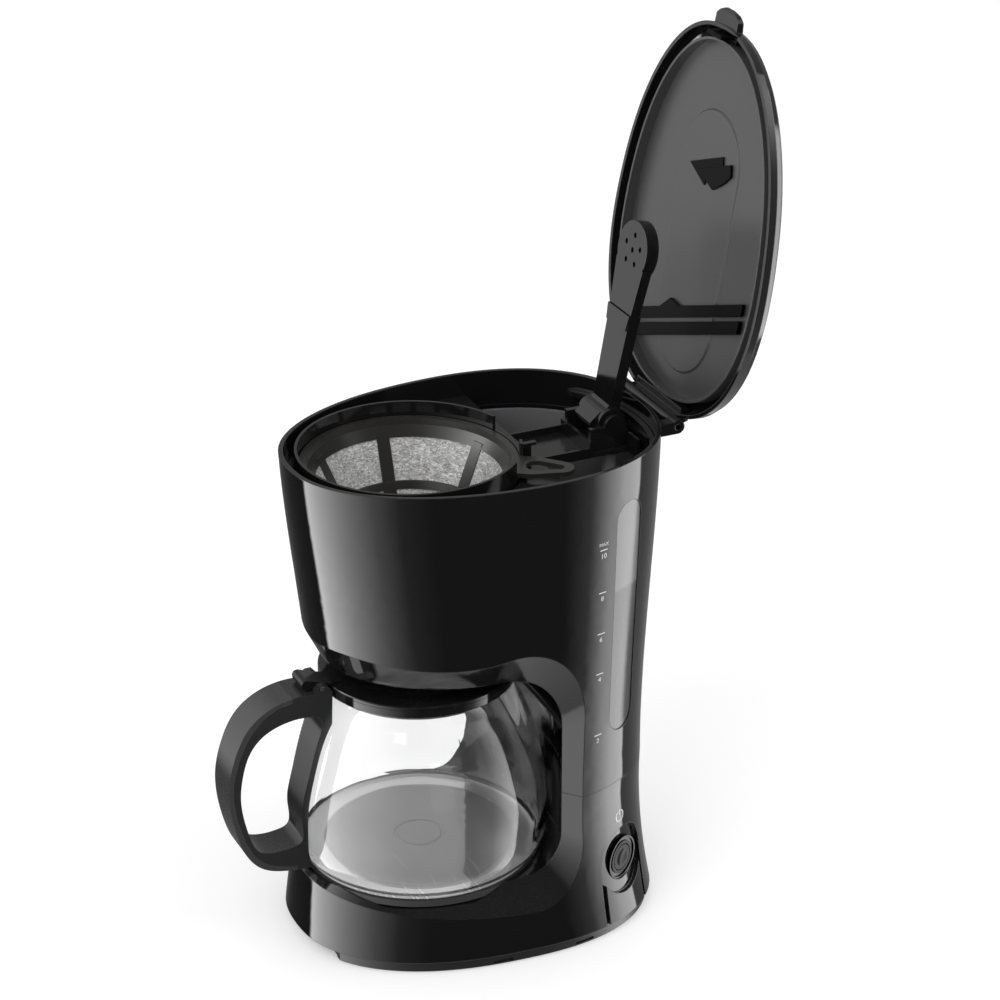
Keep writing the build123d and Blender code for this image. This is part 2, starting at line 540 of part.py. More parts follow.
# height above the rim and inset of the lid's crown
LID_CROWN = [(0.0, 0.0), (4.5, 0.3), (8.0, 1.9), (10.9, 5.8), (13.0, 12.0), (14.4, 21.0), (15.2, 32.0),
             (15.6, 44.0), (15.7, 56.0)]
LID_HOLLOW = [(-1.0, 2.2), (4.5, 2.5), (7.2, 4.0), (9.4, 7.6), (11.2, 13.6), (12.4, 22.0), (13.1, 32.0),
              (13.5, 44.0), (13.6, 54.0)]
PANEL_LOW, PANEL_HIGH = 302.8, 304.0
PILL_Y, PILL_LENGTH, PILL_WIDTH = 48.0, 151.0, 64.0
# depth, and (across, distance from the hinge) corners, of what stands up from the lid's inner face
DARTS = [(0.9, [(-20, 137), (14, 150), (16, 144), (2, 138), (-1, 129)]),
         (1.5, [(-9, 136), (24, 148.5), (26, 142), (18, 135), (9, 129.5)])]
CROSS_RIBS = [(2.0, [(-46, 42.3), (-24, 50.4), (-14, 58.9), (-4, 57.8), (62, 82.2), (62, 75.0), (-46, 35.1)]),
              (2.6, [(-46, 32.7), (62, 72.6), (62, 64.8), (-46, 24.9)])]
TAB_HALF = 12.0
KNUCKLE_HALF = 26.4


def lid_oval(z, inset):
    return oval_wire(LID_FRONT, LID_BACK, LID_HALF, z, inset=inset, egg=LID_EGG)


def opened(shape):
    """The closed lid's pieces, swung up to the open stop."""
    return shape.rotate(Axis((0, HINGE_Y, HINGE_Z), (-1, 0, 0)), OPEN_ANGLE)


def lid():
    crown = Solid.make_loft([lid_oval(LID_Z + z, inset) for z, inset in LID_CROWN], True)
    hollow = Solid.make_loft([lid_oval(LID_Z + z, inset) for z, inset in LID_HOLLOW], True)
    tab = [(LID_FRONT + 6, LID_Z + 1), (LID_FRONT - 7, LID_Z + 1.4), (LID_FRONT - 9, LID_Z + 3.0),
           (LID_FRONT - 7, LID_Z + 4.6), (LID_FRONT + 6, LID_Z + 6)]
    grip = slab_x(tab, -TAB_HALF, TAB_HALF) & post(0, LID_FRONT + 7, LID_Z, LID_Z + 12, 16.4)
    face = HINGE_Y - BARREL_RADIUS + 0.1
    web = [(face, HINGE_Z), (HINGE_Y + 3.0, HINGE_Z + 2.2), (HINGE_Y - 0.6, HINGE_Z + 10),
           (HINGE_Y - 8, HINGE_Z + 10), (HINGE_Y - 8, LID_Z), (face, LID_Z)]
    knuckle = slab_x(web, -KNUCKLE_HALF, KNUCKLE_HALF) + barrel(-KNUCKLE_HALF, KNUCKLE_HALF, BARREL_RADIUS)
    shell = (crown + grip) - hollow + knuckle - barrel(-60, 60, PIN_RADIUS)
    save("lid_shell", opened(shell))

    rail_low, rail_wall = LID_Z + 1.2, 1.5
    panel = Solid.make_loft([lid_oval(z, 8.6) for z in (PANEL_LOW, PANEL_HIGH)], True)
    rail = Solid.make_loft([lid_oval(z, 8.6) for z in (rail_low, PANEL_HIGH)], True)
    rail -= Solid.make_loft([lid_oval(z, 8.6 + rail_wall) for z in (rail_low - 1, PANEL_HIGH + 1)], True)
    pill = Pos(0, PILL_Y, PANEL_LOW) * Rot(0, 0, 90) * SlotOverall(PILL_LENGTH, PILL_WIDTH)
    liner = panel + rail + extrude(pill, 1.0, dir=(0, 0, -1), taper=45)
    save("lid_panel", opened(liner))
    save("lid_braces", opened(lid_braces()))
    hook = block((-8, 8), (-70.2, -68.7), (290.0, LID_Z + 5.0)) + block((-8, 8), (-71.0, -70.1), (290.0, 291.4))
    hook += block((-10, 10), (-70.2, -66.5), (LID_Z + 3.6, LID_Z + 5.2))
    save("lid_latch", opened(hook))


def lid_braces():
    """Raised pieces on the inner face of the lid: two overlapping darts and two slanting cross ribs."""
    high = PANEL_LOW - 1.1
    braces = Part()
    for depth, corners in DARTS + CROSS_RIBS:
        outline = Wire.make_polygon([Vector(x, HINGE_Y - reach, high) for x, reach in corners], close=True)
        braces += extrude(Face(outline), depth, dir=(0, 0, -1))
    inner = Solid.make_loft([lid_oval(z, 11.0) for z in (high - 6, high + 1)], True)
    return braces & inner


# ---- spout arm -----------------------------------------------------------------------------------
ARM_FACE, ARM_BACK = 2.1, -4.6          # front and back of the lower arm, from the pivot line
HEAD_RADIUS, HEAD_BACK = 16.4, -5.4
JET_RADIUS, JET_CIRCLE = 1.5, 8.4
ARM_JOINT = 63.0
HUB_HALF = 12.6
# roof-shaped fin in front of the arm's hub
HUB_FIN = [(102.0, 289.5), (101.8, 291.4), (108.2, 297.0), (109.9, 295.9), (113.6, 300.0), (118.0, 296.0), (112.0, 288.0)]


def arm_plane():
    """Plane at the pivot: x across, y along the raised arm, z towards the back."""
    tilt = radians(ARM_TILT)
    return Plane(origin=(0, PIVOT_Y, PIVOT_Z), x_dir=(-1, 0, 0), z_dir=(0, cos(tilt), -sin(tilt)))


def arm_plate(corners, front, back):
    """Plate in the arm's plane from (across, along) corners, between two depths."""
    plane = arm_plane().offset(-front)
    face = Face(Wire.make_polygon([plane.from_local_coords((a, b, 0)) for a, b in corners], close=True))
    return extrude(face, front - back, dir=plane.z_dir)


def arm_disc(across, along, radius, front, back):
    plane = arm_plane().offset(-front)
    centre = plane.from_local_coords((across, along, 0))
    return Solid.make_cylinder(radius, front - back, Plane(origin=centre, z_dir=plane.z_dir))


def spout_arm():
    lower = arm_plate([(-10, 0), (10, 0), (12.2, ARM_JOINT), (-12.2, ARM_JOINT)], ARM_FACE, ARM_BACK)
    lower += barrel(-HUB_HALF, HUB_HALF, 8.6, PIVOT_Y, PIVOT_Z)
    lower += arm_plate([(-11.4, 54), (11.4, 54), (12.8, ARM_JOINT), (-12.8, ARM_JOINT)], 3.2, ARM_BACK)
    lower += slab_x(HUB_FIN, -9.5, 9.5)
    lower -= arm_plate([(-9.6, 48), (9.6, 48), (10.4, ARM_JOINT + 1), (-10.4, ARM_JOINT + 1)], 0.4, -3.2)
    lower -= barrel(-30, 30, ARM_PIN, PIVOT_Y, PIVOT_Z)
    save("spout_arm", lower)
    tongue = arm_plate([(-9.2, 49), (9.2, 49), (10.0, ARM_JOINT + 2), (-10.0, ARM_JOINT + 2)], 0.0, -2.8)
    neck = arm_plate([(-12.4, ARM_JOINT + 0.2), (12.4, ARM_JOINT + 0.2), (15.5, 90), (-15.5, 90)], ARM_FACE, -4.0)
    head = arm_disc(0, ARM_LENGTH, HEAD_RADIUS, ARM_FACE, HEAD_BACK)
    spray = tongue + neck + head
    jets = [(0.0, ARM_LENGTH)]
    for step in range(5):
        turn = radians(90 + 72 * step)
        jets.append((JET_CIRCLE * cos(turn), ARM_LENGTH + JET_CIRCLE * sin(turn)))
    for across, along in jets:
        spray -= arm_disc(across, along, JET_RADIUS, ARM_FACE + 1, -2.5)
    save("shower_head", spray)


# ---- filter basket, drip valve and permanent filter ----------------------------------------------
BASKET_FOOT_Z, BASKET_FOOT_RADIUS = 184.0, 42.0
BASKET_WALL = 1.8
NOTCH_HALF, NOTCH_FLOOR = 17.2, 285.6
LEDGE_Z = 283.6                # ledge inside the basket that the filter's flange rests on
LOOP_TURN, LOOP_HALF = 57.0, 11.5


def filter_basket():
    shoulder = BASKET_TOP - 16.0
    profile = [(BASKET_RING, BASKET_TOP), (BASKET_RING, shoulder), (BASKET_RING - 2.6, shoulder),
               (BASKET_FOOT_RADIUS, BASKET_FOOT_Z), (5.0, BASKET_FOOT_Z), (5.0, BASKET_FOOT_Z + BASKET_WALL),
               (BASKET_FOOT_RADIUS - 2, BASKET_FOOT_Z + BASKET_WALL), (BASKET_RING - 4.4, LEDGE_Z),
               (BASKET_RING - 1.6, LEDGE_Z), (BASKET_RING - 1.6, BASKET_TOP)]
    basket = turned(profile, y=BASKET_Y)
    basket -= block((-NOTCH_HALF, NOTCH_HALF), (50, 70), (NOTCH_FLOOR, BASKET_TOP + 2))
    notch = block((52, 70), (-LOOP_HALF - 0.6, LOOP_HALF + 0.6), (LEDGE_Z - 0.1, BASKET_TOP + 2))
    basket -= Pos(0, BASKET_Y, 0) * Rot(0, 0, LOOP_TURN) * notch
    spout = turned([(9.6, BASKET_FOOT_Z + 0.1), (9.6, 180.6), (8.0, 177.2), (6.4, 177.2), (7.4, 180.8),
                    (7.4, BASKET_FOOT_Z + 0.1)], y=BASKET_Y)
    hook = [(48.0, 282.0), (60.5, 282.0), (60.5, 290.4), (63.6, 290.4), (63.6, 292.0), (48.0, 292.0)]
    hooks = slab_x(hook, 18.0, 21.0) - post(0, BASKET_Y, 270, 300, BASKET_RING - 0.8)
    save("filter_basket", basket + spout + hooks)


def drip_valve():
    stem = turned([(0, 171.0), (3.0, 171.0), (3.0, 176.0), (4.2, 178.0), (4.2, 191.8), (6.6, 191.8), (6.6, 193.6),
                   (0, 193.6)], y=BASKET_Y)
    save("drip_valve", stem)
    seal = turned([(4.25, 190.4), (6.4, 190.4), (6.4, 191.7), (4.25, 191.7)], y=BASKET_Y)
    save("valve_seal", seal)


FILTER_TOP_Z, FILTER_TOP_R = 282.0, 57.2
FLANGE_RADIUS = 60.2
FILTER_FOOT_Z, FILTER_FOOT_R = 225.0, 27.0
FILTER_RING_Z = 252.0
FILTER_RIBS = [12.0, 57.0, 110.0, 173.0, 225.0, 282.0, 328.0]


def filter_radius(z):
    return FILTER_FOOT_R + (FILTER_TOP_R - 2.0 - FILTER_FOOT_R) * (z - FILTER_FOOT_Z) / (FILTER_TOP_Z - FILTER_FOOT_Z)


def cone_shell(low, high, out, inn):
    """Slanted band that follows the filter between two heights."""
    return turned([(filter_radius(low) + out, low), (filter_radius(high) + out, high),
                   (filter_radius(high) + inn, high), (filter_radius(low) + inn, low)], y=BASKET_Y)


def tapered(start, start_radius, end, end_radius):
    """Flat outline of two circles on one line and the straight sides that touch both."""
    lean = asin((start_radius - end_radius) / (end - start))
    near = [(start + start_radius * sin(lean), side * start_radius * cos(lean)) for side in (1, -1)]
    far = [(end + end_radius * sin(lean), side * end_radius * cos(lean)) for side in (-1, 1)]
    between = Face(Wire.make_polygon([Vector(x, y, 0) for x, y in near + far], close=True))
    return Pos(start, 0) * Circle(start_radius) + Pos(end, 0) * Circle(end_radius) + between


def paper_free_filter():
    seat, top = LEDGE_Z + 0.4, LEDGE_Z + 1.8
    frame = turned([(FLANGE_RADIUS, top), (FLANGE_RADIUS, seat), (FILTER_TOP_R, seat), (FILTER_TOP_R, FILTER_TOP_Z),
                    (filter_radius(FILTER_TOP_Z - 6) + 1.0, FILTER_TOP_Z - 6),
                    (filter_radius(FILTER_TOP_Z - 6) - 0.9, FILTER_TOP_Z - 6),
                    (FILTER_TOP_R - 1.8, FILTER_TOP_Z), (FILTER_TOP_R - 1.0, top)], y=BASKET_Y)
    frame += cone_shell(FILTER_RING_Z - 2.0, FILTER_RING_Z + 2.0, 1.3, -1.1)
    frame += cone_shell(FILTER_FOOT_Z, FILTER_FOOT_Z + 4.0, 1.3, -1.1)
    frame += post(0, BASKET_Y, FILTER_FOOT_Z - 1.4, FILTER_FOOT_Z + 0.2, FILTER_FOOT_R + 0.6)
    for turn in FILTER_RIBS:
        wedge = Pos(0, BASKET_Y, 0) * Rot(0, 0, turn) * block((10, 70), (-3.6, 3.6), (FILTER_FOOT_Z, FILTER_TOP_Z - 3))
        frame += cone_shell(FILTER_FOOT_Z, FILTER_TOP_Z - 3, 1.0, -0.9) & wedge
    loop = Pos(0, BASKET_Y, seat) * Rot(0, 0, LOOP_TURN)
    outline = tapered(67.5, LOOP_HALF, 84.0, 7.0) + Pos(63.5, 0) * Rectangle(8.0, 2 * LOOP_HALF)
    handle = extrude(loop * (outline - tapered(70.5, 6.2, 83.0, 2.8)), 2.6)
    handle -= post(0, BASKET_Y, 280, 300, FLANGE_RADIUS - 0.8)
    save("filter_frame", frame + handle)
    mesh = cone_shell(FILTER_FOOT_Z + 4.1, FILTER_RING_Z - 2.1, 0.2, -0.2)
    mesh += cone_shell(FILTER_RING_Z + 2.1, FILTER_TOP_Z - 6.1, 0.2, -0.2)
    for turn in FILTER_RIBS:
        place = Pos(0, BASKET_Y, 0) * Rot(0, 0, turn)
        mesh -= place * block((10, 70), (-3.7, 3.7), (FILTER_FOOT_Z, FILTER_TOP_Z))
    save("filter_mesh", mesh)


# ---- jug ---------------------------------------------------------------------------------------
HANDLE_HALF = 11.2
HANDLE_OUTER = [(-69.4, 160.0), (-81.2, 159.6), (-93.1, 156.2), (-105.2, 147.6), (-114.4, 131.0), (-118.8, 112.0),
                (-118.4, 97.0), (-115.0, 80.0), (-108.5, 64.0), (-100.8, 55.8), (-87.5, 51.0), (-76.0, 49.6)]
HANDLE_HOLE = [(-64.6, 144.6), (-74.5, 146.4), (-84.0, 145.6), (-93.6, 142.5), (-101.0, 137.4), (-106.6, 129.5),
               (-110.3, 118.0), (-112.1, 104.0), (-110.6, 90.0), (-107.0, 76.0), (-102.6, 67.6), (-95.0, 64.8),
               (-84.0, 64.9), (-77.6, 67.0), (-76.5, 81.7), (-75.0, 94.3), (-72.7, 103.5), (-69.4, 115.6),
               (-65.4, 129.4), (-62.8, 139.0)]
COVER_STEP = 2.6
GLASS_PROFILE = [(73.0, 57.0), (73.5, 69.0), (73.3, 80.0), (72.3, 90.0), (70.4, 100.0), (67.5, 112.0), (63.0, 127.0),
                 (57.4, 139.0), (52.9, 149.0)]


def jug_profile(offset):
    """Outline of the glass, from its foot to its lip, moved outwards by offset."""
    rounded = [(62.0, JUG_FLOOR - offset), (69.5, JUG_FLOOR + 2.6 - offset * 0.7)]
    body = [(r + offset, z) for r, z in GLASS_PROFILE]
    lip = [(53.0 + offset, 153.0), (54.0 + offset, JUG_TOP)]
    return rounded + body + lip


def glass_solid(offset, top=JUG_TOP):
    """Solid inside the glass outline."""
    line = [Vector(r, 0, z) for r, z in jug_profile(offset)]
    line[-1] = Vector(line[-1].X, 0, top)
    edge = Edge.make_spline(line)
    floor, tip = Vector(0, 0, line[0].Z), Vector(0, 0, top)
    wire = Wire([Edge.make_line(floor, line[0]), edge, Edge.make_line(line[-1], tip), Edge.make_line(tip, floor)])
    return revolve(Face(wire), Axis.Z, 360)


def handle_loop():
    """D-shaped loop with its finger hole, cut back to clear the glass and the lid."""
    ends = [(-60.0, 49.6), (-56.0, 159.6)]
    line = [Vector(0, y, z) for y, z in HANDLE_OUTER]
    face = Face(Wire([Edge.make_spline(line), Edge.make_line(line[-1], Vector(0, *ends[0])),
                      Edge.make_line(Vector(0, *ends[0]), Vector(0, *ends[1])),
                      Edge.make_line(Vector(0, *ends[1]), line[0])]))
    loop = extrude(face, 2 * HANDLE_HALF, dir=(1, 0, 0)).translate((-HANDLE_HALF, 0, 0))
    loop -= slab_x(HANDLE_HOLE, -HANDLE_HALF - 2, HANDLE_HALF + 2, smooth=True)
    return loop - glass_solid(0.3, top=JUG_TOP + 20) - post(0, 0, 140, 175, LID_SKIRT_RADIUS + 0.5)


def handle_core():
    """Space inside the handle's outer cover."""
    inner = [(y + (COVER_STEP if y < -100 else 0.6), z + (-COVER_STEP if z > 105 else COVER_STEP))
             for y, z in HANDLE_OUTER]
    line = [Vector(0, y, z) for y, z in inner]
    corners = [Vector(0, -40, line[-1].Z), Vector(0, -40, line[0].Z)]
    face = Face(Wire([Edge.make_spline(line), Edge.make_line(line[-1], corners[0]),
                      Edge.make_line(corners[0], corners[1]), Edge.make_line(corners[1], line[0])]))
    return extrude(face, 2 * HANDLE_HALF + 4, dir=(1, 0, 0)).translate((-HANDLE_HALF - 2, 0, 0))


LUG_Y, LUG_Z = -62.0, 162.1
LEVER_HALF = 7.5
BAND_LOW, BAND_HIGH, BAND_BORE, BAND_SCREW_Z = 154.8, 159.0, 54.2, 156.9


def carafe():
    outer = glass_solid(0.0)
    inner = glass_solid(-GLASS, top=JUG_TOP + 2) & block((-90, 90), (-90, 90), (JUG_FLOOR + 3.4, JUG_TOP + 5))
    save("carafe_glass", outer - inner)
    band = post(0, 0, BAND_LOW, BAND_HIGH, LID_SKIRT_RADIUS) - post(0, 0, BAND_LOW - 1, BAND_HIGH + 1, BAND_BORE)
    save("carafe_band", band - rod((0, -70, BAND_SCREW_Z), (0, -50, BAND_SCREW_Z), 1.5))
    loop = handle_loop()
    outside = block((-20, 20), (-140, -80.0), (40, 175)) - handle_core()
    save("handle_cover", loop & outside)
    lug = slab_x([(-66.5, 157.0), (-57.5, 157.0), (-57.5, 161.5), (-60.0, 164.4), (-64.0, 164.4), (-66.5, 161.5)],
                 LEVER_HALF + 0.3, HANDLE_HALF)
    main = loop - outside + (mirrored(lug) - post(0, 0, 140, 175, LID_SKIRT_RADIUS + 0.5))
    main -= rod((0, -80, BAND_SCREW_Z), (0, -50, BAND_SCREW_Z), 1.5)
    main -= barrel(-20, 20, 1.5, LUG_Y, LUG_Z)
    save("carafe_handle", main)
    save("band_screw", rod((0, -66.0, BAND_SCREW_Z), (0, -54.6, BAND_SCREW_Z), 1.45))
    save("jug_lid_pin", barrel(-HANDLE_HALF + 0.2, HANDLE_HALF - 0.2, 1.45, LUG_Y, LUG_Z))


def jug_lid():
    r, low, high = LID_SKIRT_RADIUS, BAND_HIGH + 0.3, LID_TOP
    lid_body = turned([(r, low), (r, high - 0.5), (r - 0.5, high), (43.2, high), (41.6, high - 0.8), (18.0, 168.6),
                       (13.0, 170.2), (0, 170.2), (0, 168.4), (12.4, 168.4), (17.2, 166.8), (40.8, low - 0.8),
                       (43.4, low - 0.2), (43.4, low)])
    lid_body += post(0, 0, 151.0, low + 0.5, 50.2) - post(0, 0, 150.0, low + 1.0, 48.6)
    for step in range(6):
        turn = radians(60 * step)
        lid_body -= post(9.0 * cos(turn), 9.0 * sin(turn), 160, 175, 1.6)
    save("jug_lid", lid_body)
    wedge = [(-48.0, LID_TOP), (-49.4, 162.6), (-56.0, 162.4), (-69.6, 167.1), (-71.8, 166.6), (-72.8, 164.8),
             (-72.4, 162.4), (-69.6, 160.3), (-56.9, 160.3), (-56.9, LID_TOP)]
    lever = slab_x(wedge, -LEVER_HALF, LEVER_HALF) - post(0, 0, 140, LID_TOP, r + 0.02)
    lever -= barrel(-20, 20, 1.5, LUG_Y, LUG_Z)
    save("lid_lever", lever)


# ---- wiring ------------------------------------------------------------------------------------
def wiring():
    """Leads laid inside the base: cord inlet to switch, switch to thermostat and heater."""
    a = radians(SWITCH_TURN)
    starts = []
    for offset in TERMINALS:
        out, along = SWITCH_OUT - 31.9, SWITCH_ALONG + offset
        starts.append((out * cos(a) - along * sin(a), out * sin(a) + along * cos(a)))
    routes = [
        [(*starts[0], SWITCH_Z - 2.6), (*starts[0], 20.0), (10.0, 60.0, 19.0), (8.0, 26.0, 18.0), (3.5, 8.0, 20.6)],
        [(*starts[1], SWITCH_Z - 2.6), (*starts[1], 16.0), (-6.0, 60.0, 16.0), (-21.0, 17.0, 16.0), (-21.0, 17.0, 37.0)],
        [(*starts[2], SWITCH_Z - 2.6), (*starts[2], 24.0), (6.0, 110.0, 22.0), (0.0, 123.0, CORD_Z)],
    ]
    leads = Part()
    for route in routes:
        leads += tube(route, 1.2, 0, 3.0)
    save("wiring", leads)


def build():
    upper_housing()
    gauge_window()
    water_tank()
    top_deck()
    spout_tower()
    hinge_pin()
    base_shell()
    bottom_plate()
    side, depth = boiler()
    hoses(side, depth)
    switch()
    lid()
    spout_arm()
    filter_basket()
    drip_valve()
    paper_free_filter()
    carafe()
    jug_lid()
    wiring()


build()
solids = {}
for name, shape in PARTS.items():
    solids[name] = Pos(0, -MID_DEPTH, 0) * shape
    export_step(solids[name], f"parts/{name}.step")
boxes = [shape.bounding_box() for shape in solids.values()]
for axis in ("X", "Y", "Z"):
    low = min(getattr(box.min, axis) for box in boxes)
    high = max(getattr(box.max, axis) for box in boxes)
    print(f"{axis} {low:.2f} to {high:.2f}, middle {(low + high) / 2:.2f}")
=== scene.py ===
import json
from math import cos, pi, radians, sin

import bmesh
import bpy
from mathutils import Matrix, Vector
from mathutils.bvhtree import BVHTree


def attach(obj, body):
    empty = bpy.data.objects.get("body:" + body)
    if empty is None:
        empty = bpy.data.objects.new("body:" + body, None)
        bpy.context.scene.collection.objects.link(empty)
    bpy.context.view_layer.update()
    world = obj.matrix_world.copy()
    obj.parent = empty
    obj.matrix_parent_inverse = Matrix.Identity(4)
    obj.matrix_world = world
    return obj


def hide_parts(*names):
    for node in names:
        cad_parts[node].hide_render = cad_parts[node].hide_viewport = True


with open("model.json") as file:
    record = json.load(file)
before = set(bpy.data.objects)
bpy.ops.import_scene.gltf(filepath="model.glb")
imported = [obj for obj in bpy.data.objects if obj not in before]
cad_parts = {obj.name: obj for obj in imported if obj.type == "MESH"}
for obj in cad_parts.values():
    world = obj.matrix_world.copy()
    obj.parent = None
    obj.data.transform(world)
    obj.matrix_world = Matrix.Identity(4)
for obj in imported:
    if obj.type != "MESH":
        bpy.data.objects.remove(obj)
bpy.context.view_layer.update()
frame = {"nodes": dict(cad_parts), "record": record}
MM = 0.001
JUG_DEPTH = -0.038             # where the jug's axis stands, along Y
DISC_RADIUS = 0.055            # grey middle of the hot plate
TONE_CHANGE = 0.2185           # height above which the gauge window is painted paler, with painted shade below it
WEAVE_RADIUS = 0.042           # at which the filter's woven wire has its true pitch


# ---- camera ------------------------------------------------------------------------------------
VIEW_TURN, VIEW_RISE = 65.1, 25.44        # degrees round from the front, and up
VIEW_PLACE = (1.4683, -0.66826, 1.0202)
LENS = 115.88


def place_camera():
    camera = bpy.data.objects.new("camera", bpy.data.cameras.new("camera"))
    camera.location = VIEW_PLACE
    camera.rotation_euler = (radians(90 - VIEW_RISE), 0, radians(VIEW_TURN))
    camera.data.lens = LENS
    camera.data.clip_start = 0.05
    bpy.context.collection.objects.link(camera)
    bpy.context.scene.camera = camera


place_camera()


# ---- node building -----------------------------------------------------------------------------
def add(tree, kind, inputs=None, **settings):
    """New shader node. Inputs are plain values or the output socket that feeds them."""
    node = tree.nodes.new("ShaderNode" + kind)
    for name, value in settings.items():
        setattr(node, name, value)
    for name, value in (inputs or {}).items():
        if isinstance(value, bpy.types.NodeSocket):
            tree.links.new(value, node.inputs[name])
        else:
            node.inputs[name].default_value = value
    return node


def sums(tree, operation, *values, clamp=False):
    node = add(tree, "Math", operation=operation, use_clamp=clamp)
    for socket, value in zip(node.inputs, values):
        if isinstance(value, bpy.types.NodeSocket):
            tree.links.new(value, socket)
        else:
            socket.default_value = value
    return node.outputs[0]


def scaled(tree, value, gain, offset, clamp=False):
    """Value times gain, plus offset."""
    return sums(tree, "ADD", sums(tree, "MULTIPLY", value, gain), offset, clamp=clamp)


def spread(tree, value, low, high, **settings):
    """Value between low and high, spread over 0 to 1."""
    limits = {"Value": value, "From Min": low, "From Max": high}
    return add(tree, "MapRange", limits, **settings).outputs["Result"]


def ramp(tree, factor, stops):
    """Colour ramp from (place, grey or colour) stops."""
    node = add(tree, "ValToRGB", {"Fac": factor})
    elements = node.color_ramp.elements
    while len(elements) < len(stops):
        elements.new(1.0)
    for element, (place, colour) in zip(elements, stops):
        element.position = place
        element.color = (*colour, 1.0) if isinstance(colour, tuple) else (colour, colour, colour, 1.0)
    return node.outputs["Color"]


def blended(tree, factor, first, second, mode="MIX"):
    node = add(tree, "Mix", {"Factor": factor}, data_type="RGBA", blend_type=mode)
    for socket, value in ((node.inputs[6], first), (node.inputs[7], second)):
        if isinstance(value, bpy.types.NodeSocket):
            tree.links.new(value, socket)
        else:
            socket.default_value = (*value, 1.0)
    return node.outputs[2]


def new_group(name, inputs, outputs):
    tree = bpy.data.node_groups.new(name, "ShaderNodeTree")
    for label, value in inputs:
        socket = tree.interface.new_socket(label, in_out="INPUT", socket_type="NodeSocketFloat")
        socket.default_value = value
    for label in outputs:
        tree.interface.new_socket(label, in_out="OUTPUT", socket_type="NodeSocketFloat")
    place = add(tree, "TexCoord").outputs["Object"]
    return tree, tree.nodes.new("NodeGroupInput").outputs, tree.nodes.new("NodeGroupOutput").inputs, place


def stretched(tree, place, scale, turn):
    node = add(tree, "Mapping", {"Vector": place, "Scale": scale, "Rotation": turn})
    return node.outputs["Vector"]


def use(tree, effect, **values):
    node = tree.nodes.new("ShaderNodeGroup")
    node.node_tree = effect
    for name, value in values.items():
        socket = node.inputs[name.replace("_", " ")]
        if isinstance(value, bpy.types.NodeSocket):
            tree.links.new(value, socket)
        else:
            socket.default_value = value
    return node.outputs


# ---- shared effects ----------------------------------------------------------------------------
def make_handling():
    """Hairlines and finger smears on a glossy moulding."""
    tree, given, out, place = new_group("handling", [("Amount", 1.0), ("Scale", 1.0)], ["Haze", "Height"])
    lines = []
    for turn, seed in ((0.4, 3.1), (1.9, 7.7), (2.7, 12.3)):
        grid = stretched(tree, place, (38.0, 900.0, 900.0), (turn, turn * 0.7, turn * 1.3))
        noise = add(tree, "TexNoise", {"Vector": grid, "Scale": given["Scale"], "Detail": 1.0, "W": seed},
                    noise_dimensions="4D")
        lines.append(ramp(tree, noise.outputs["Fac"], [(0.0, 0.0), (0.68, 0.0), (0.74, 1.0), (1.0, 1.0)]))
    hair = blended(tree, 1.0, blended(tree, 1.0, lines[0], lines[1], "LIGHTEN"), lines[2], "LIGHTEN")
    smear = add(tree, "TexNoise", {"Vector": place, "Scale": 14.0, "Detail": 4.0, "Roughness": 0.55})
    patches = ramp(tree, smear.outputs["Fac"], [(0.42, 0.0), (0.72, 1.0)])
    haze = sums(tree, "ADD", sums(tree, "MULTIPLY", hair, 0.55), sums(tree, "MULTIPLY", patches, 0.45))
    tree.links.new(sums(tree, "MULTIPLY", haze, given["Amount"]), out["Haze"])
    tree.links.new(sums(tree, "MULTIPLY", hair, given["Amount"]), out["Height"])
    return tree


def make_grain():
    """Fine eroded texture of a satin mould, with the slow swell of the plastic under it."""
    tree, given, out, place = new_group("moulded_grain", [("Scale", 2600.0), ("Swell", 0.3)],
                                        ["Height", "Tone"])
    pits = add(tree, "TexNoise", {"Vector": place, "Scale": given["Scale"], "Detail": 2.0, "Roughness": 0.6})
    cell_scale = sums(tree, "MULTIPLY", given["Scale"], 0.55)
    cells = add(tree, "TexVoronoi", {"Vector": place, "Scale": cell_scale}, feature="SMOOTH_F1")
    swell = add(tree, "TexNoise", {"Vector": place, "Scale": 30.0, "Detail": 2.0})
    height = sums(tree, "ADD", sums(tree, "MULTIPLY", pits.outputs["Fac"], 0.6),
                  sums(tree, "MULTIPLY", cells.outputs["Distance"], 0.4))
    tree.links.new(sums(tree, "ADD", height, sums(tree, "MULTIPLY", swell.outputs["Fac"], given["Swell"])),
                   out["Height"])
    tone = sums(tree, "ADD", sums(tree, "MULTIPLY", pits.outputs["Fac"], 0.5),
                sums(tree, "MULTIPLY", swell.outputs["Fac"], 0.5))
    tree.links.new(tone, out["Tone"])
    return tree


def make_edge_rub():
    """Mask of the outer edges that hands and cloths polish pale."""
    tree, given, out, place = new_group("edge_rub", [("Width", 0.0008), ("Breakup", 0.5)], ["Mask"])
    soft = add(tree, "Bevel", {"Radius": given["Width"]}, samples=3)
    flat = add(tree, "NewGeometry")
    alike = add(tree, "VectorMath", {0: soft.outputs["Normal"], 1: flat.outputs["Normal"]},
                operation="DOT_PRODUCT").outputs["Value"]
    turned_edge = spread(tree, alike, 0.995, 0.90)
    patch = add(tree, "TexNoise", {"Vector": place, "Scale": 160.0, "Detail": 3.0}).outputs["Fac"]
    broken = spread(tree, patch, given["Breakup"], sums(tree, "ADD", given["Breakup"], 0.25))
    tree.links.new(sums(tree, "MULTIPLY", turned_edge, broken), out["Mask"])
    return tree


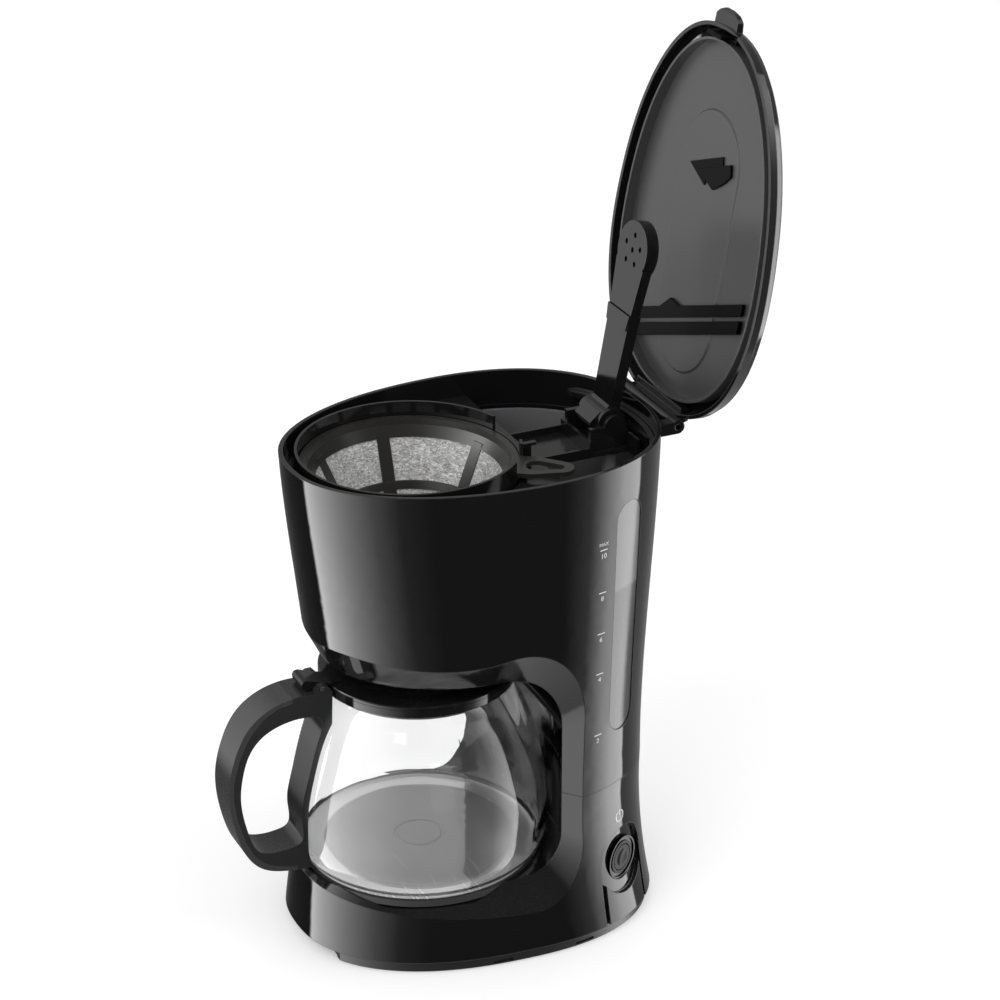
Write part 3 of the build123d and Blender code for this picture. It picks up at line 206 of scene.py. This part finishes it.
def make_dust():
    """Light dust that settles on faces that look upwards."""
    tree, given, out, place = new_group("settled_dust", [("Amount", 0.3)], ["Mask"])
    face = add(tree, "NewGeometry")
    upward = add(tree, "SeparateXYZ", {"Vector": face.outputs["Normal"]}).outputs["Z"]
    lying = spread(tree, upward, 0.55, 1.0)
    specks = add(tree, "TexNoise", {"Vector": place, "Scale": 1900.0, "Detail": 1.0})
    drift = add(tree, "TexNoise", {"Vector": place, "Scale": 22.0, "Detail": 3.0})
    grains = ramp(tree, specks.outputs["Fac"], [(0.55, 0.0), (0.72, 1.0)])
    fall = sums(tree, "MULTIPLY", grains, drift.outputs["Fac"])
    settled = sums(tree, "MULTIPLY", lying, fall)
    tree.links.new(sums(tree, "MULTIPLY", settled, given["Amount"]), out["Mask"])
    return tree


def make_brushing():
    """Long fine lines of brushed or drawn metal."""
    ways = [("Along X", 12.0), ("Along Y", 12.0), ("Along Z", 2500.0)]
    tree, given, out, place = new_group("brushing", ways, ["Height", "Tone"])
    joined = add(tree, "CombineXYZ", {"X": given["Along X"], "Y": given["Along Y"], "Z": given["Along Z"]})
    grid = add(tree, "VectorMath", {0: place, 1: joined.outputs["Vector"]}, operation="MULTIPLY")
    lines = add(tree, "TexNoise", {"Vector": grid.outputs["Vector"], "Scale": 1.0, "Detail": 3.0})
    tree.links.new(lines.outputs["Fac"], out["Height"])
    tree.links.new(ramp(tree, lines.outputs["Fac"], [(0.3, 0.0), (0.7, 1.0)]), out["Tone"])
    return tree


def make_weave():
    """Height of plain woven wire that runs round an upright cone."""
    tree, given, out, place = new_group("woven_wire", [("Pitch", 0.0006)], ["Height"])
    axes = add(tree, "SeparateXYZ", {"Vector": place})
    turn = sums(tree, "ARCTAN2", axes.outputs["Y"], axes.outputs["X"])
    round_way = sums(tree, "MULTIPLY", turn, WEAVE_RADIUS)
    waves = []
    for run in (round_way, axes.outputs["Z"]):
        phase = sums(tree, "MULTIPLY", sums(tree, "DIVIDE", run, given["Pitch"]), 2 * pi)
        waves.append(sums(tree, "ABSOLUTE", sums(tree, "SINE", phase)))
    tree.links.new(sums(tree, "MAXIMUM", *waves), out["Height"])
    return tree


HANDLING, GRAIN, EDGE_RUB, DUST = make_handling(), make_grain(), make_edge_rub(), make_dust()
BRUSHING, WEAVE = make_brushing(), make_weave()


# ---- finishes ----------------------------------------------------------------------------------
def finish(name, **fixed):
    """Material with a Principled shader; fixed values go on the shader's own sockets."""
    material = bpy.data.materials.new(name)
    material.use_nodes = True
    tree = material.node_tree
    shader = tree.nodes["Principled BSDF"]
    for label, value in fixed.items():
        socket = shader.inputs[label.replace("_", " ")]
        socket.default_value = (*value, 1.0) if isinstance(value, tuple) and len(value) == 3 else value
    return material, tree, shader


def join(tree, value, socket):
    tree.links.new(value, socket)


def bumped(tree, height, distance, corner=0.0):
    """Normal with fine relief, and with corners softened over a radius in metres."""
    bump = add(tree, "Bump", {"Height": height, "Distance": distance})
    if corner:
        rounded = add(tree, "Bevel", {"Radius": corner}, samples=4).outputs["Normal"]
        join(tree, rounded, bump.inputs["Normal"])
    return bump.outputs["Normal"]


def glossy_moulding(name, colour, rough=0.06, haze=0.10, wear=0.5, corner=0.0, index=1.5):
    """High gloss casing plastic with hairlines, smears and rubbed edges."""
    material, tree, shader = finish(name, IOR=index)
    marks = use(tree, HANDLING, Amount=1.0, Scale=1.0)
    rub = use(tree, EDGE_RUB, Width=0.0007, Breakup=0.46)["Mask"]
    dust = use(tree, DUST, Amount=0.25)["Mask"]
    pale = tuple(min(1.0, c * 3.0 + 0.02) for c in colour)
    shade = blended(tree, sums(tree, "MULTIPLY", rub, wear), colour, pale)
    join(tree, blended(tree, dust, shade, (0.30, 0.29, 0.28)), shader.inputs["Base Color"])
    hazy = scaled(tree, marks["Haze"], haze, rough)
    join(tree, scaled(tree, dust, 0.5, hazy, clamp=True), shader.inputs["Roughness"])
    join(tree, bumped(tree, marks["Height"], 0.000003, corner), shader.inputs["Normal"])
    return material


def satin_moulding(name, colour, rough=0.34, grain=2600.0, depth=0.00002, wear=0.6):
    """Satin plastic with an eroded mould texture, edges polished by use and a little dust."""
    material, tree, shader = finish(name, IOR=1.5)
    mould = use(tree, GRAIN, Scale=grain, Swell=0.3)
    rub = use(tree, EDGE_RUB, Width=0.0009, Breakup=0.44)["Mask"]
    dust = use(tree, DUST, Amount=0.35)["Mask"]
    pale = tuple(min(1.0, c * 2.2 + 0.02) for c in colour)
    deep = tuple(c * 0.8 for c in colour)
    shade = blended(tree, mould["Tone"], deep, colour)
    shade = blended(tree, sums(tree, "MULTIPLY", rub, wear), shade, pale)
    join(tree, blended(tree, dust, shade, (0.30, 0.29, 0.28)), shader.inputs["Base Color"])
    varied = scaled(tree, mould["Tone"], 0.14, rough - 0.07)
    join(tree, scaled(tree, rub, -0.1, varied, clamp=True), shader.inputs["Roughness"])
    join(tree, bumped(tree, mould["Height"], depth), shader.inputs["Normal"])
    return material


def metal(name, colour, rough=0.28, brushed=(12.0, 12.0, 2500.0), depth=0.000008):
    material, tree, shader = finish(name, Metallic=1.0)
    lines = use(tree, BRUSHING, Along_X=brushed[0], Along_Y=brushed[1], Along_Z=brushed[2])
    rub = use(tree, EDGE_RUB, Width=0.0006, Breakup=0.4)["Mask"]
    dull = tuple(c * 0.78 for c in colour)
    shade = blended(tree, lines["Tone"], dull, colour)
    bright = tuple(min(1.0, c * 1.2) for c in colour)
    join(tree, blended(tree, rub, shade, bright), shader.inputs["Base Color"])
    join(tree, scaled(tree, lines["Tone"], 0.12, rough - 0.06), shader.inputs["Roughness"])
    join(tree, bumped(tree, lines["Height"], depth), shader.inputs["Normal"])
    return material


def soft_rubber(name, colour, rough=0.6):
    material, tree, shader = finish(name, IOR=1.45)
    mould = use(tree, GRAIN, Scale=1500.0, Swell=0.5)
    dust = use(tree, DUST, Amount=0.6)["Mask"]
    shade = blended(tree, mould["Tone"], tuple(c * 0.75 for c in colour), colour)
    join(tree, blended(tree, dust, shade, (0.35, 0.34, 0.33)), shader.inputs["Base Color"])
    join(tree, scaled(tree, mould["Tone"], 0.2, rough - 0.1), shader.inputs["Roughness"])
    join(tree, bumped(tree, mould["Height"], 0.00003), shader.inputs["Normal"])
    return material


def jug_glass():
    material, tree, shader = finish("jug_glass", Base_Color=(0.985, 0.985, 0.985), IOR=1.47,
                                    Transmission_Weight=1.0)
    marks = use(tree, HANDLING, Amount=0.5, Scale=0.7)
    join(tree, sums(tree, "MULTIPLY", marks["Haze"], 0.03), shader.inputs["Roughness"])
    join(tree, bumped(tree, marks["Height"], 0.000001), shader.inputs["Normal"])
    return material


def window_plastic():
    """Smoky clear moulding with painted shade: darker below TONE_CHANGE, where the tank's wall is behind it,
    paler above that.
    """
    material, tree, shader = finish("window_plastic", Transmission_Weight=0.22, IOR=1.49)
    mould = use(tree, GRAIN, Scale=900.0, Swell=0.6)
    height = add(tree, "SeparateXYZ", {"Vector": add(tree, "TexCoord").outputs["Object"]}).outputs["Z"]
    # the two tones by height are painted: shade below TONE_CHANGE, a lighter tone above it
    above = spread(tree, height, TONE_CHANGE - 0.0015, TONE_CHANGE + 0.0015)
    painted_shade_below = blended(tree, mould["Tone"], (0.050, 0.050, 0.052), (0.070, 0.070, 0.072))
    pale = blended(tree, mould["Tone"], (0.145, 0.145, 0.148), (0.185, 0.185, 0.188))
    join(tree, blended(tree, above, painted_shade_below, pale), shader.inputs["Base Color"])
    join(tree, scaled(tree, mould["Tone"], 0.12, 0.10), shader.inputs["Roughness"])
    join(tree, bumped(tree, mould["Height"], 0.00001), shader.inputs["Normal"])
    return material


def plate_coating():
    """Grey coated disc under the jug, with a pale polished ring round it."""
    material, tree, shader = finish("plate_coating", IOR=1.5)
    mould = use(tree, GRAIN, Scale=900.0, Swell=0.3)
    across = {"Vector": add(tree, "TexCoord").outputs["Object"], "Location": (0.0, -JUG_DEPTH, 0.0),
              "Scale": (1.0, 1.0, 0.0)}
    place = add(tree, "Mapping", across).outputs["Vector"]
    radius = add(tree, "VectorMath", {0: place}, operation="LENGTH").outputs["Value"]
    outside = spread(tree, radius, DISC_RADIUS - 0.0005, DISC_RADIUS + 0.0005)
    disc = blended(tree, mould["Tone"], (0.20, 0.20, 0.203), (0.27, 0.27, 0.274))
    join(tree, blended(tree, outside, disc, (0.72, 0.72, 0.72)), shader.inputs["Base Color"])
    scuffs = use(tree, HANDLING, Amount=0.6, Scale=0.5)["Haze"]
    join(tree, scaled(tree, scuffs, 0.15, 0.22), shader.inputs["Roughness"])
    join(tree, sums(tree, "MULTIPLY", outside, 0.6), shader.inputs["Metallic"])
    join(tree, bumped(tree, mould["Height"], 0.000008), shader.inputs["Normal"])
    return material


def filter_weave():
    material, tree, shader = finish("filter_weave", IOR=1.5)
    woven = use(tree, WEAVE, Pitch=0.0011)
    # the pale patches are painted glints on the dark woven wire, a little metallic and rougher where they lie
    painted_glint_noise = add(tree, "TexNoise", {"Scale": 34.0, "Detail": 5.0, "Roughness": 0.62, "Distortion": 1.6})
    patches = ramp(tree, painted_glint_noise.outputs["Fac"], [(0.36, 0.0), (0.52, 0.45), (0.64, 1.0)])
    join(tree, blended(tree, patches, (0.20, 0.198, 0.195), (0.86, 0.855, 0.85)), shader.inputs["Base Color"])
    join(tree, scaled(tree, patches, 0.2, 0.35), shader.inputs["Roughness"])
    join(tree, sums(tree, "MULTIPLY", patches, 0.25), shader.inputs["Metallic"])
    join(tree, bumped(tree, woven["Height"], 0.00012), shader.inputs["Normal"])
    return material


def printed_white():
    material, tree, shader = finish("printed_white", IOR=1.5)
    ink = add(tree, "TexNoise", {"Scale": 900.0, "Detail": 3.0}).outputs["Fac"]
    join(tree, blended(tree, ink, (0.62, 0.62, 0.62), (0.86, 0.86, 0.86)), shader.inputs["Base Color"])
    join(tree, scaled(tree, ink, 0.2, 0.35), shader.inputs["Roughness"])
    join(tree, bumped(tree, ink, 0.000006), shader.inputs["Normal"])
    return material


BLACK = (0.0065, 0.0065, 0.0068)
FINISHES = {
    "casing": glossy_moulding("casing_gloss", BLACK, rough=0.04, haze=0.05, corner=0.0007),
    # the lid panel's grey is partly its own dark plastic, partly a painted sheen standing in for its
    # reflection
    "liner": glossy_moulding("lid_liner_painted_sheen", (0.056, 0.056, 0.057), rough=0.30, haze=0.06, corner=0.0004,
                             index=1.4),
    # near-black and barely reflecting: painted shade on the steel hinge pin in its hole, and black plastic
    # with painted shade on the lid braces and latch
    "shade": glossy_moulding("brace_painted_shade", (0.0015, 0.0015, 0.0016), rough=0.35, haze=0.05, wear=0.2,
                             index=1.12),
    "deck": glossy_moulding("deck_gloss", (0.007, 0.007, 0.0073), rough=0.16, haze=0.10),
    "grip": glossy_moulding("grip_gloss", BLACK, rough=0.07, haze=0.08),
    # black handle plastic with a painted sheen: lifted to dark greys, the cover painted paler than the handle
    "handle": glossy_moulding("handle_painted_sheen", (0.024, 0.024, 0.0245), rough=0.09, haze=0.08),
    "cover": glossy_moulding("handle_cover_painted_sheen", (0.046, 0.046, 0.047), rough=0.12, haze=0.08),
    "satin": satin_moulding("satin_black", (0.016, 0.016, 0.0165)),
    "tank": satin_moulding("tank_smoke", (0.16, 0.16, 0.165), rough=0.3),
    "ribs": satin_moulding("filter_ribs", (0.022, 0.021, 0.020), rough=0.3),
    "natural": satin_moulding("natural_plastic", (0.62, 0.61, 0.57), rough=0.4),
    "sleeve": satin_moulding("lead_sleeve", (0.42, 0.38, 0.33), rough=0.6, grain=1200.0),
    "silicone": soft_rubber("hose_silicone", (0.62, 0.60, 0.55), rough=0.45),
    "rubber": soft_rubber("foot_rubber", (0.03, 0.03, 0.031)),
    "steel": metal("zinc_steel", (0.56, 0.56, 0.58)),
    "bezel": metal("switch_trim", (0.016, 0.016, 0.017), rough=0.12, brushed=(300.0, 300.0, 300.0)),
    "button": glossy_moulding("button_black", BLACK, rough=0.14, haze=0.10, index=1.17),
    "aluminium": metal("boiler_aluminium", (0.72, 0.72, 0.73), rough=0.42, brushed=(60.0, 60.0, 60.0)),
    "plate": plate_coating(),
    "glass": jug_glass(),
    "window": window_plastic(),
    "weave": filter_weave(),
    "print": printed_white(),
}


# ---- pieces ------------------------------------------------------------------------------------
def link(name, mesh, look, body, smooth=True):
    piece = bpy.data.objects.new(name, mesh)
    bpy.context.collection.objects.link(piece)
    mesh.materials.clear()
    mesh.materials.append(FINISHES[look])
    for face in mesh.polygons:
        face.use_smooth = smooth
    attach(piece, body)
    return piece


def body_of_node(node):
    return next(name for name, nodes in frame["record"]["behaviour"]["bodies"].items() if node in nodes)


# edges flatter than the first angle are dissolved, and those sharper than the second are rounded
FLAT_ANGLE, CORNER_ANGLE, CORNER_STEPS = radians(1.5), radians(28.0), 2


def eased(node, look, width):
    """The node's solid with its corners rounded over, as a moulding or a pressing leaves the tool."""
    mesh = frame["nodes"][node].data.copy()
    build = bmesh.new()
    build.from_mesh(mesh)
    bmesh.ops.remove_doubles(build, verts=build.verts, dist=2e-6)
    bmesh.ops.dissolve_limit(build, angle_limit=FLAT_ANGLE, verts=build.verts, edges=build.edges)
    build.to_mesh(mesh)
    build.free()
    piece = link(node + "_eased", mesh, look, body_of_node(node))
    corners = piece.modifiers.new("rounded_corners", "BEVEL")
    corners.width, corners.segments = width * MM, CORNER_STEPS
    corners.limit_method, corners.angle_limit = "ANGLE", CORNER_ANGLE
    corners.use_clamp_overlap = True
    corners.harden_normals = True
    weights = piece.modifiers.new("shading", "WEIGHTED_NORMAL")
    weights.keep_sharp = True
    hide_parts(node)


LOOKS = {
    "casing": ("upper_housing", "base_shell", "lid_shell"),
    "handle": ("carafe_handle",),
    "cover": ("handle_cover",),
    "grip": ("lid_lever", "spout_arm", "shower_head", "filter_basket", "jug_lid", "carafe_band"),
    "button": ("power_button",),
    "liner": ("lid_panel",),
    # painted shade: the steel hinge pin and the lid braces and latch are drawn near-black
    "shade": ("lid_braces", "lid_latch", "hinge_pin"),
    "deck": ("top_deck", "spout_tower", "rear_rim"),
    "satin": ("bottom_plate", "drip_valve", "switch_body"),
    "bezel": ("switch_bezel",),
    "tank": ("water_tank",),
    "natural": ("riser_tube", "check_valve"),
    "window": ("gauge_window",),
    "rubber": ("gauge_gasket", "rubber_feet", "plate_seal", "valve_seal"),
    "steel": ("arm_pin", "jug_lid_pin", "base_screws", "housing_screws", "clamp_screws", "band_screw",
              "heater_clamps", "thermostat", "thermal_fuses", "hose_clips", "heating_element"),
    "aluminium": ("boiler_tube",),
    "plate": ("hot_plate",),
    "silicone": ("inlet_hose", "outlet_hose"),
    "sleeve": ("wiring",),
    "ribs": ("filter_frame",),
    "weave": ("filter_mesh",),
    "glass": ("carafe_glass",),
}
# angular parts that get rounded corners of their own; the rest carry the solid's own surface
EASED = {"spout_arm": 0.6, "shower_head": 0.5, "spout_tower": 0.4, "lid_lever": 0.7, "lid_latch": 0.3,
         "lid_braces": 0.4, "switch_body": 0.5, "heater_clamps": 0.3}


def coated(node, look):
    carried = frame["nodes"][node]
    carried.data.materials.clear()
    carried.data.materials.append(FINISHES[look])


for look, nodes in LOOKS.items():
    for node in nodes:
        if node in EASED:
            eased(node, look, EASED[node])
        else:
            coated(node, look)


# ---- printed marks -----------------------------------------------------------------------------
GAUGE_TURN, GAUGE_DEPTH = 13.0, 38.3      # way the wall beside the gauge faces, and the marks' place on it
GAUGE_LINES = [("10", 247.9), ("8", 221.7), ("6", 196.2), ("4", 170.9), ("2", 131.8)]
NUMBER_DROP, NUMBER_HEIGHT = 3.8, 2.9
WORD_PLACE, WORD_HEIGHT = 251.2, 2.1
DASH = [(-2.5, 0), (0, 0), (2.5, 0)]
POWER_TURN, POWER_PLACE, POWER_RADIUS = 30.0, (66.0, 58.1, 70.6), 3.5
POWER_BAR = [(0, 0.4), (0, 2.4), (0, 4.4)]
DASH_STROKE, POWER_STROKE = 0.30, 0.42    # half widths
PRINT_LIFT = 0.06


def surface_of(node):
    carried = frame["nodes"][node]
    corners = [carried.matrix_world @ corner.co for corner in carried.data.vertices]
    return BVHTree.FromPolygons(corners, [tuple(face.vertices) for face in carried.data.polygons])


def lettering(text, height):
    """Flat mesh of a short text, centred, with capitals of that height in mm."""
    curve = bpy.data.curves.new("lettering", "FONT")
    curve.body, curve.size = text, height / 0.7
    curve.align_x, curve.align_y = "CENTER", "CENTER"
    holder = bpy.data.objects.new("lettering", curve)
    bpy.context.collection.objects.link(holder)
    shown = holder.evaluated_get(bpy.context.evaluated_depsgraph_get())
    mesh = bpy.data.meshes.new_from_object(shown)
    bpy.data.objects.remove(holder)
    return mesh


def strip(points, half):
    """Flat band along a line of (across, up) points in mm."""
    mesh = bpy.data.meshes.new("strip")
    build = bmesh.new()
    pairs = []
    for index, point in enumerate(points):
        before, after = points[max(index - 1, 0)], points[min(index + 1, len(points) - 1)]
        way = Vector((after[0] - before[0], after[1] - before[1], 0.0)).normalized()
        side = Vector((-way.y, way.x, 0.0)) * half
        middle = Vector((*point, 0.0))
        pairs.append((build.verts.new(middle - side), build.verts.new(middle + side)))
    for (a, b), (c, d) in zip(pairs, pairs[1:]):
        build.faces.new((a, c, d, b))
    build.to_mesh(mesh)
    build.free()
    return mesh


def printed(name, mesh, wall, turn, place):
    """Lays a flat mesh on the wall that faces turn degrees from +X, centred at place in mm."""
    out = Vector((cos(radians(turn)), sin(radians(turn)), 0.0))
    across = Vector((-out.y, out.x, 0.0))
    centre = Vector(place)
    for corner in mesh.vertices:
        spot = (centre + across * corner.co.x + Vector((0, 0, corner.co.y))) * MM
        hit = wall.ray_cast(spot + out * 0.1, -out)[0]
        corner.co = hit + out * PRINT_LIFT * MM
    link(name, mesh, "print", "machine", smooth=False)


def print_marks():
    upper, base = surface_of("upper_housing"), surface_of("base_shell")
    for text, height in GAUGE_LINES:
        line, number = (70, GAUGE_DEPTH, height), (70, GAUGE_DEPTH, height - NUMBER_DROP)
        printed("line_" + text, strip(DASH, DASH_STROKE), upper, GAUGE_TURN, line)
        printed("number_" + text, lettering(text, NUMBER_HEIGHT), upper, GAUGE_TURN, number)
    word = (70, GAUGE_DEPTH, WORD_PLACE)
    printed("word_max", lettering("MAX", WORD_HEIGHT), upper, GAUGE_TURN, word)
    turns = [radians(step) for step in range(32, 334, 15)]
    ring = [(POWER_RADIUS * sin(turn), POWER_RADIUS * cos(turn)) for turn in turns]
    printed("power_ring", strip(ring, POWER_STROKE), base, POWER_TURN, POWER_PLACE)
    printed("power_bar", strip(POWER_BAR, POWER_STROKE), base, POWER_TURN, POWER_PLACE)


print_marks()


# ---- floor and light ---------------------------------------------------------------------------
FLOOR_RADIUS, FLOOR_GREY, FLOOR_GLOW = 6.0, 0.82, 0.32


def light_paths(tree, names):
    """1 for the rays of any of these kinds."""
    paths = add(tree, "LightPath")
    total = paths.outputs[names[0]]
    for name in names[1:]:
        total = sums(tree, "MAXIMUM", total, paths.outputs[name])
    return total


def lay_floor():
    mesh = bpy.data.meshes.new("floor")
    build = bmesh.new()
    bmesh.ops.create_circle(build, cap_ends=True, segments=96, radius=FLOOR_RADIUS)
    build.to_mesh(mesh)
    build.free()
    floor = bpy.data.objects.new("floor", mesh)
    bpy.context.collection.objects.link(floor)
    material = bpy.data.materials.new("pale_floor")
    material.use_nodes = True
    tree = material.node_tree
    shader = tree.nodes["Principled BSDF"]
    shader.inputs["Base Color"].default_value = (FLOOR_GREY, FLOOR_GREY, FLOOR_GREY, 1.0)
    shader.inputs["Roughness"].default_value = 0.7
    seen = light_paths(tree, ["Is Camera Ray", "Is Transmission Ray"])
    shader.inputs["Emission Color"].default_value = (1.0, 1.0, 1.0, 1.0)
    join(tree, sums(tree, "MULTIPLY", seen, FLOOR_GLOW), shader.inputs["Emission Strength"])
    clear = add(tree, "BsdfTransparent")
    mixed = add(tree, "MixShader", {"Fac": light_paths(tree, ["Is Glossy Ray"])})
    join(tree, shader.outputs[0], mixed.inputs[1])
    join(tree, clear.outputs[0], mixed.inputs[2])
    join(tree, mixed.outputs[0], tree.nodes["Material Output"].inputs["Surface"])
    mesh.materials.append(material)


# light walls low round the studio, as (turn from the front towards +X in degrees, strength)
WALLS = [(-180, 0.30), (-140, 0.30), (-70, 0.06), (-41, 0.03), (-37, 6.2), (-12, 5.2), (0, 4.2),
         (20, 2.5), (37, 1.1), (53, 0.22), (70, 0.03), (120, 0.03), (134, 0.5), (148, 3.0), (160, 4.6),
         (178, 4.4), (180, 0.3)]
# the paler backdrop above them, by the same turns
BACKDROP = [(-180, 0.35), (-90, 0.35), (-65, 0.95), (-30, 0.95), (10, 0.5), (45, 0.14), (130, 0.14),
            (160, 0.35), (180, 0.35)]
STEEP_STRENGTH = 0.9           # what steep downward reflections see
PLAIN_STRENGTH = 0.75          # even light on everything that doesn't mirror


def by_turn(tree, share, stops):
    """Strength that changes with the turn round the studio."""
    top = max(strength for _, strength in stops)
    scale = ramp(tree, share, [((angle + 180) / 360, strength / top) for angle, strength in stops])
    return sums(tree, "MULTIPLY", scale, top)


def light_studio():
    world = bpy.data.worlds.new("studio")
    bpy.context.scene.world = world
    world.use_nodes = True
    tree = world.node_tree
    ways = add(tree, "SeparateXYZ", {"Vector": add(tree, "TexCoord").outputs["Generated"]})
    turn = sums(tree, "ARCTAN2", ways.outputs["X"], sums(tree, "MULTIPLY", ways.outputs["Y"], -1.0))
    share = sums(tree, "ADD", sums(tree, "DIVIDE", turn, 2 * pi), 0.5)
    high = ways.outputs["Z"]
    raised = spread(tree, high, sin(radians(-24)), sin(radians(-12)), interpolation_type="SMOOTHSTEP")
    fading = spread(tree, high, 0.85, 0.5)
    steep = spread(tree, high, sin(radians(-47)), sin(radians(-42)), interpolation_type="SMOOTHSTEP")
    low = scaled(tree, steep, -STEEP_STRENGTH, STEEP_STRENGTH)
    walls = sums(tree, "MULTIPLY", sums(tree, "MULTIPLY", by_turn(tree, share, WALLS), steep), fading)
    walls = sums(tree, "ADD", walls, low)
    gloss = sums(tree, "MAXIMUM", walls, sums(tree, "MULTIPLY", by_turn(tree, share, BACKDROP), raised))
    plain = add(tree, "Background", {"Color": (1.0, 1.0, 1.0, 1.0), "Strength": PLAIN_STRENGTH})
    mirrored = add(tree, "Background", {"Color": (1.0, 1.0, 1.0, 1.0), "Strength": gloss})
    white = add(tree, "Background", {"Color": (1.0, 1.0, 1.0, 1.0), "Strength": 1.0})
    first = add(tree, "MixShader", {"Fac": light_paths(tree, ["Is Glossy Ray"])})
    join(tree, plain.outputs[0], first.inputs[1])
    join(tree, mirrored.outputs[0], first.inputs[2])
    second = add(tree, "MixShader", {"Fac": light_paths(tree, ["Is Camera Ray", "Is Transmission Ray"])})
    join(tree, first.outputs[0], second.inputs[1])
    join(tree, white.outputs[0], second.inputs[2])
    join(tree, second.outputs[0], tree.nodes["World Output"].inputs["Surface"])


def hang_lamp(name, place, size, power, target=(0.0, 0.0, 0.2)):
    data = bpy.data.lights.new(name, "AREA")
    data.size, data.energy = size, power
    lamp = bpy.data.objects.new(name, data)
    lamp.location = place
    lamp.rotation_euler = (Vector(place) - Vector(target)).to_track_quat("Z", "Y").to_euler()
    bpy.context.collection.objects.link(lamp)
    lamp.visible_glossy = False


lay_floor()
light_studio()
hang_lamp("key_lamp", (1.1, -1.6, 2.0), 1.6, 22.0)
hang_lamp("fill_lamp", (1.4, 1.5, 1.6), 1.8, 12.0)
bpy.context.scene.view_settings.view_transform = "Standard"
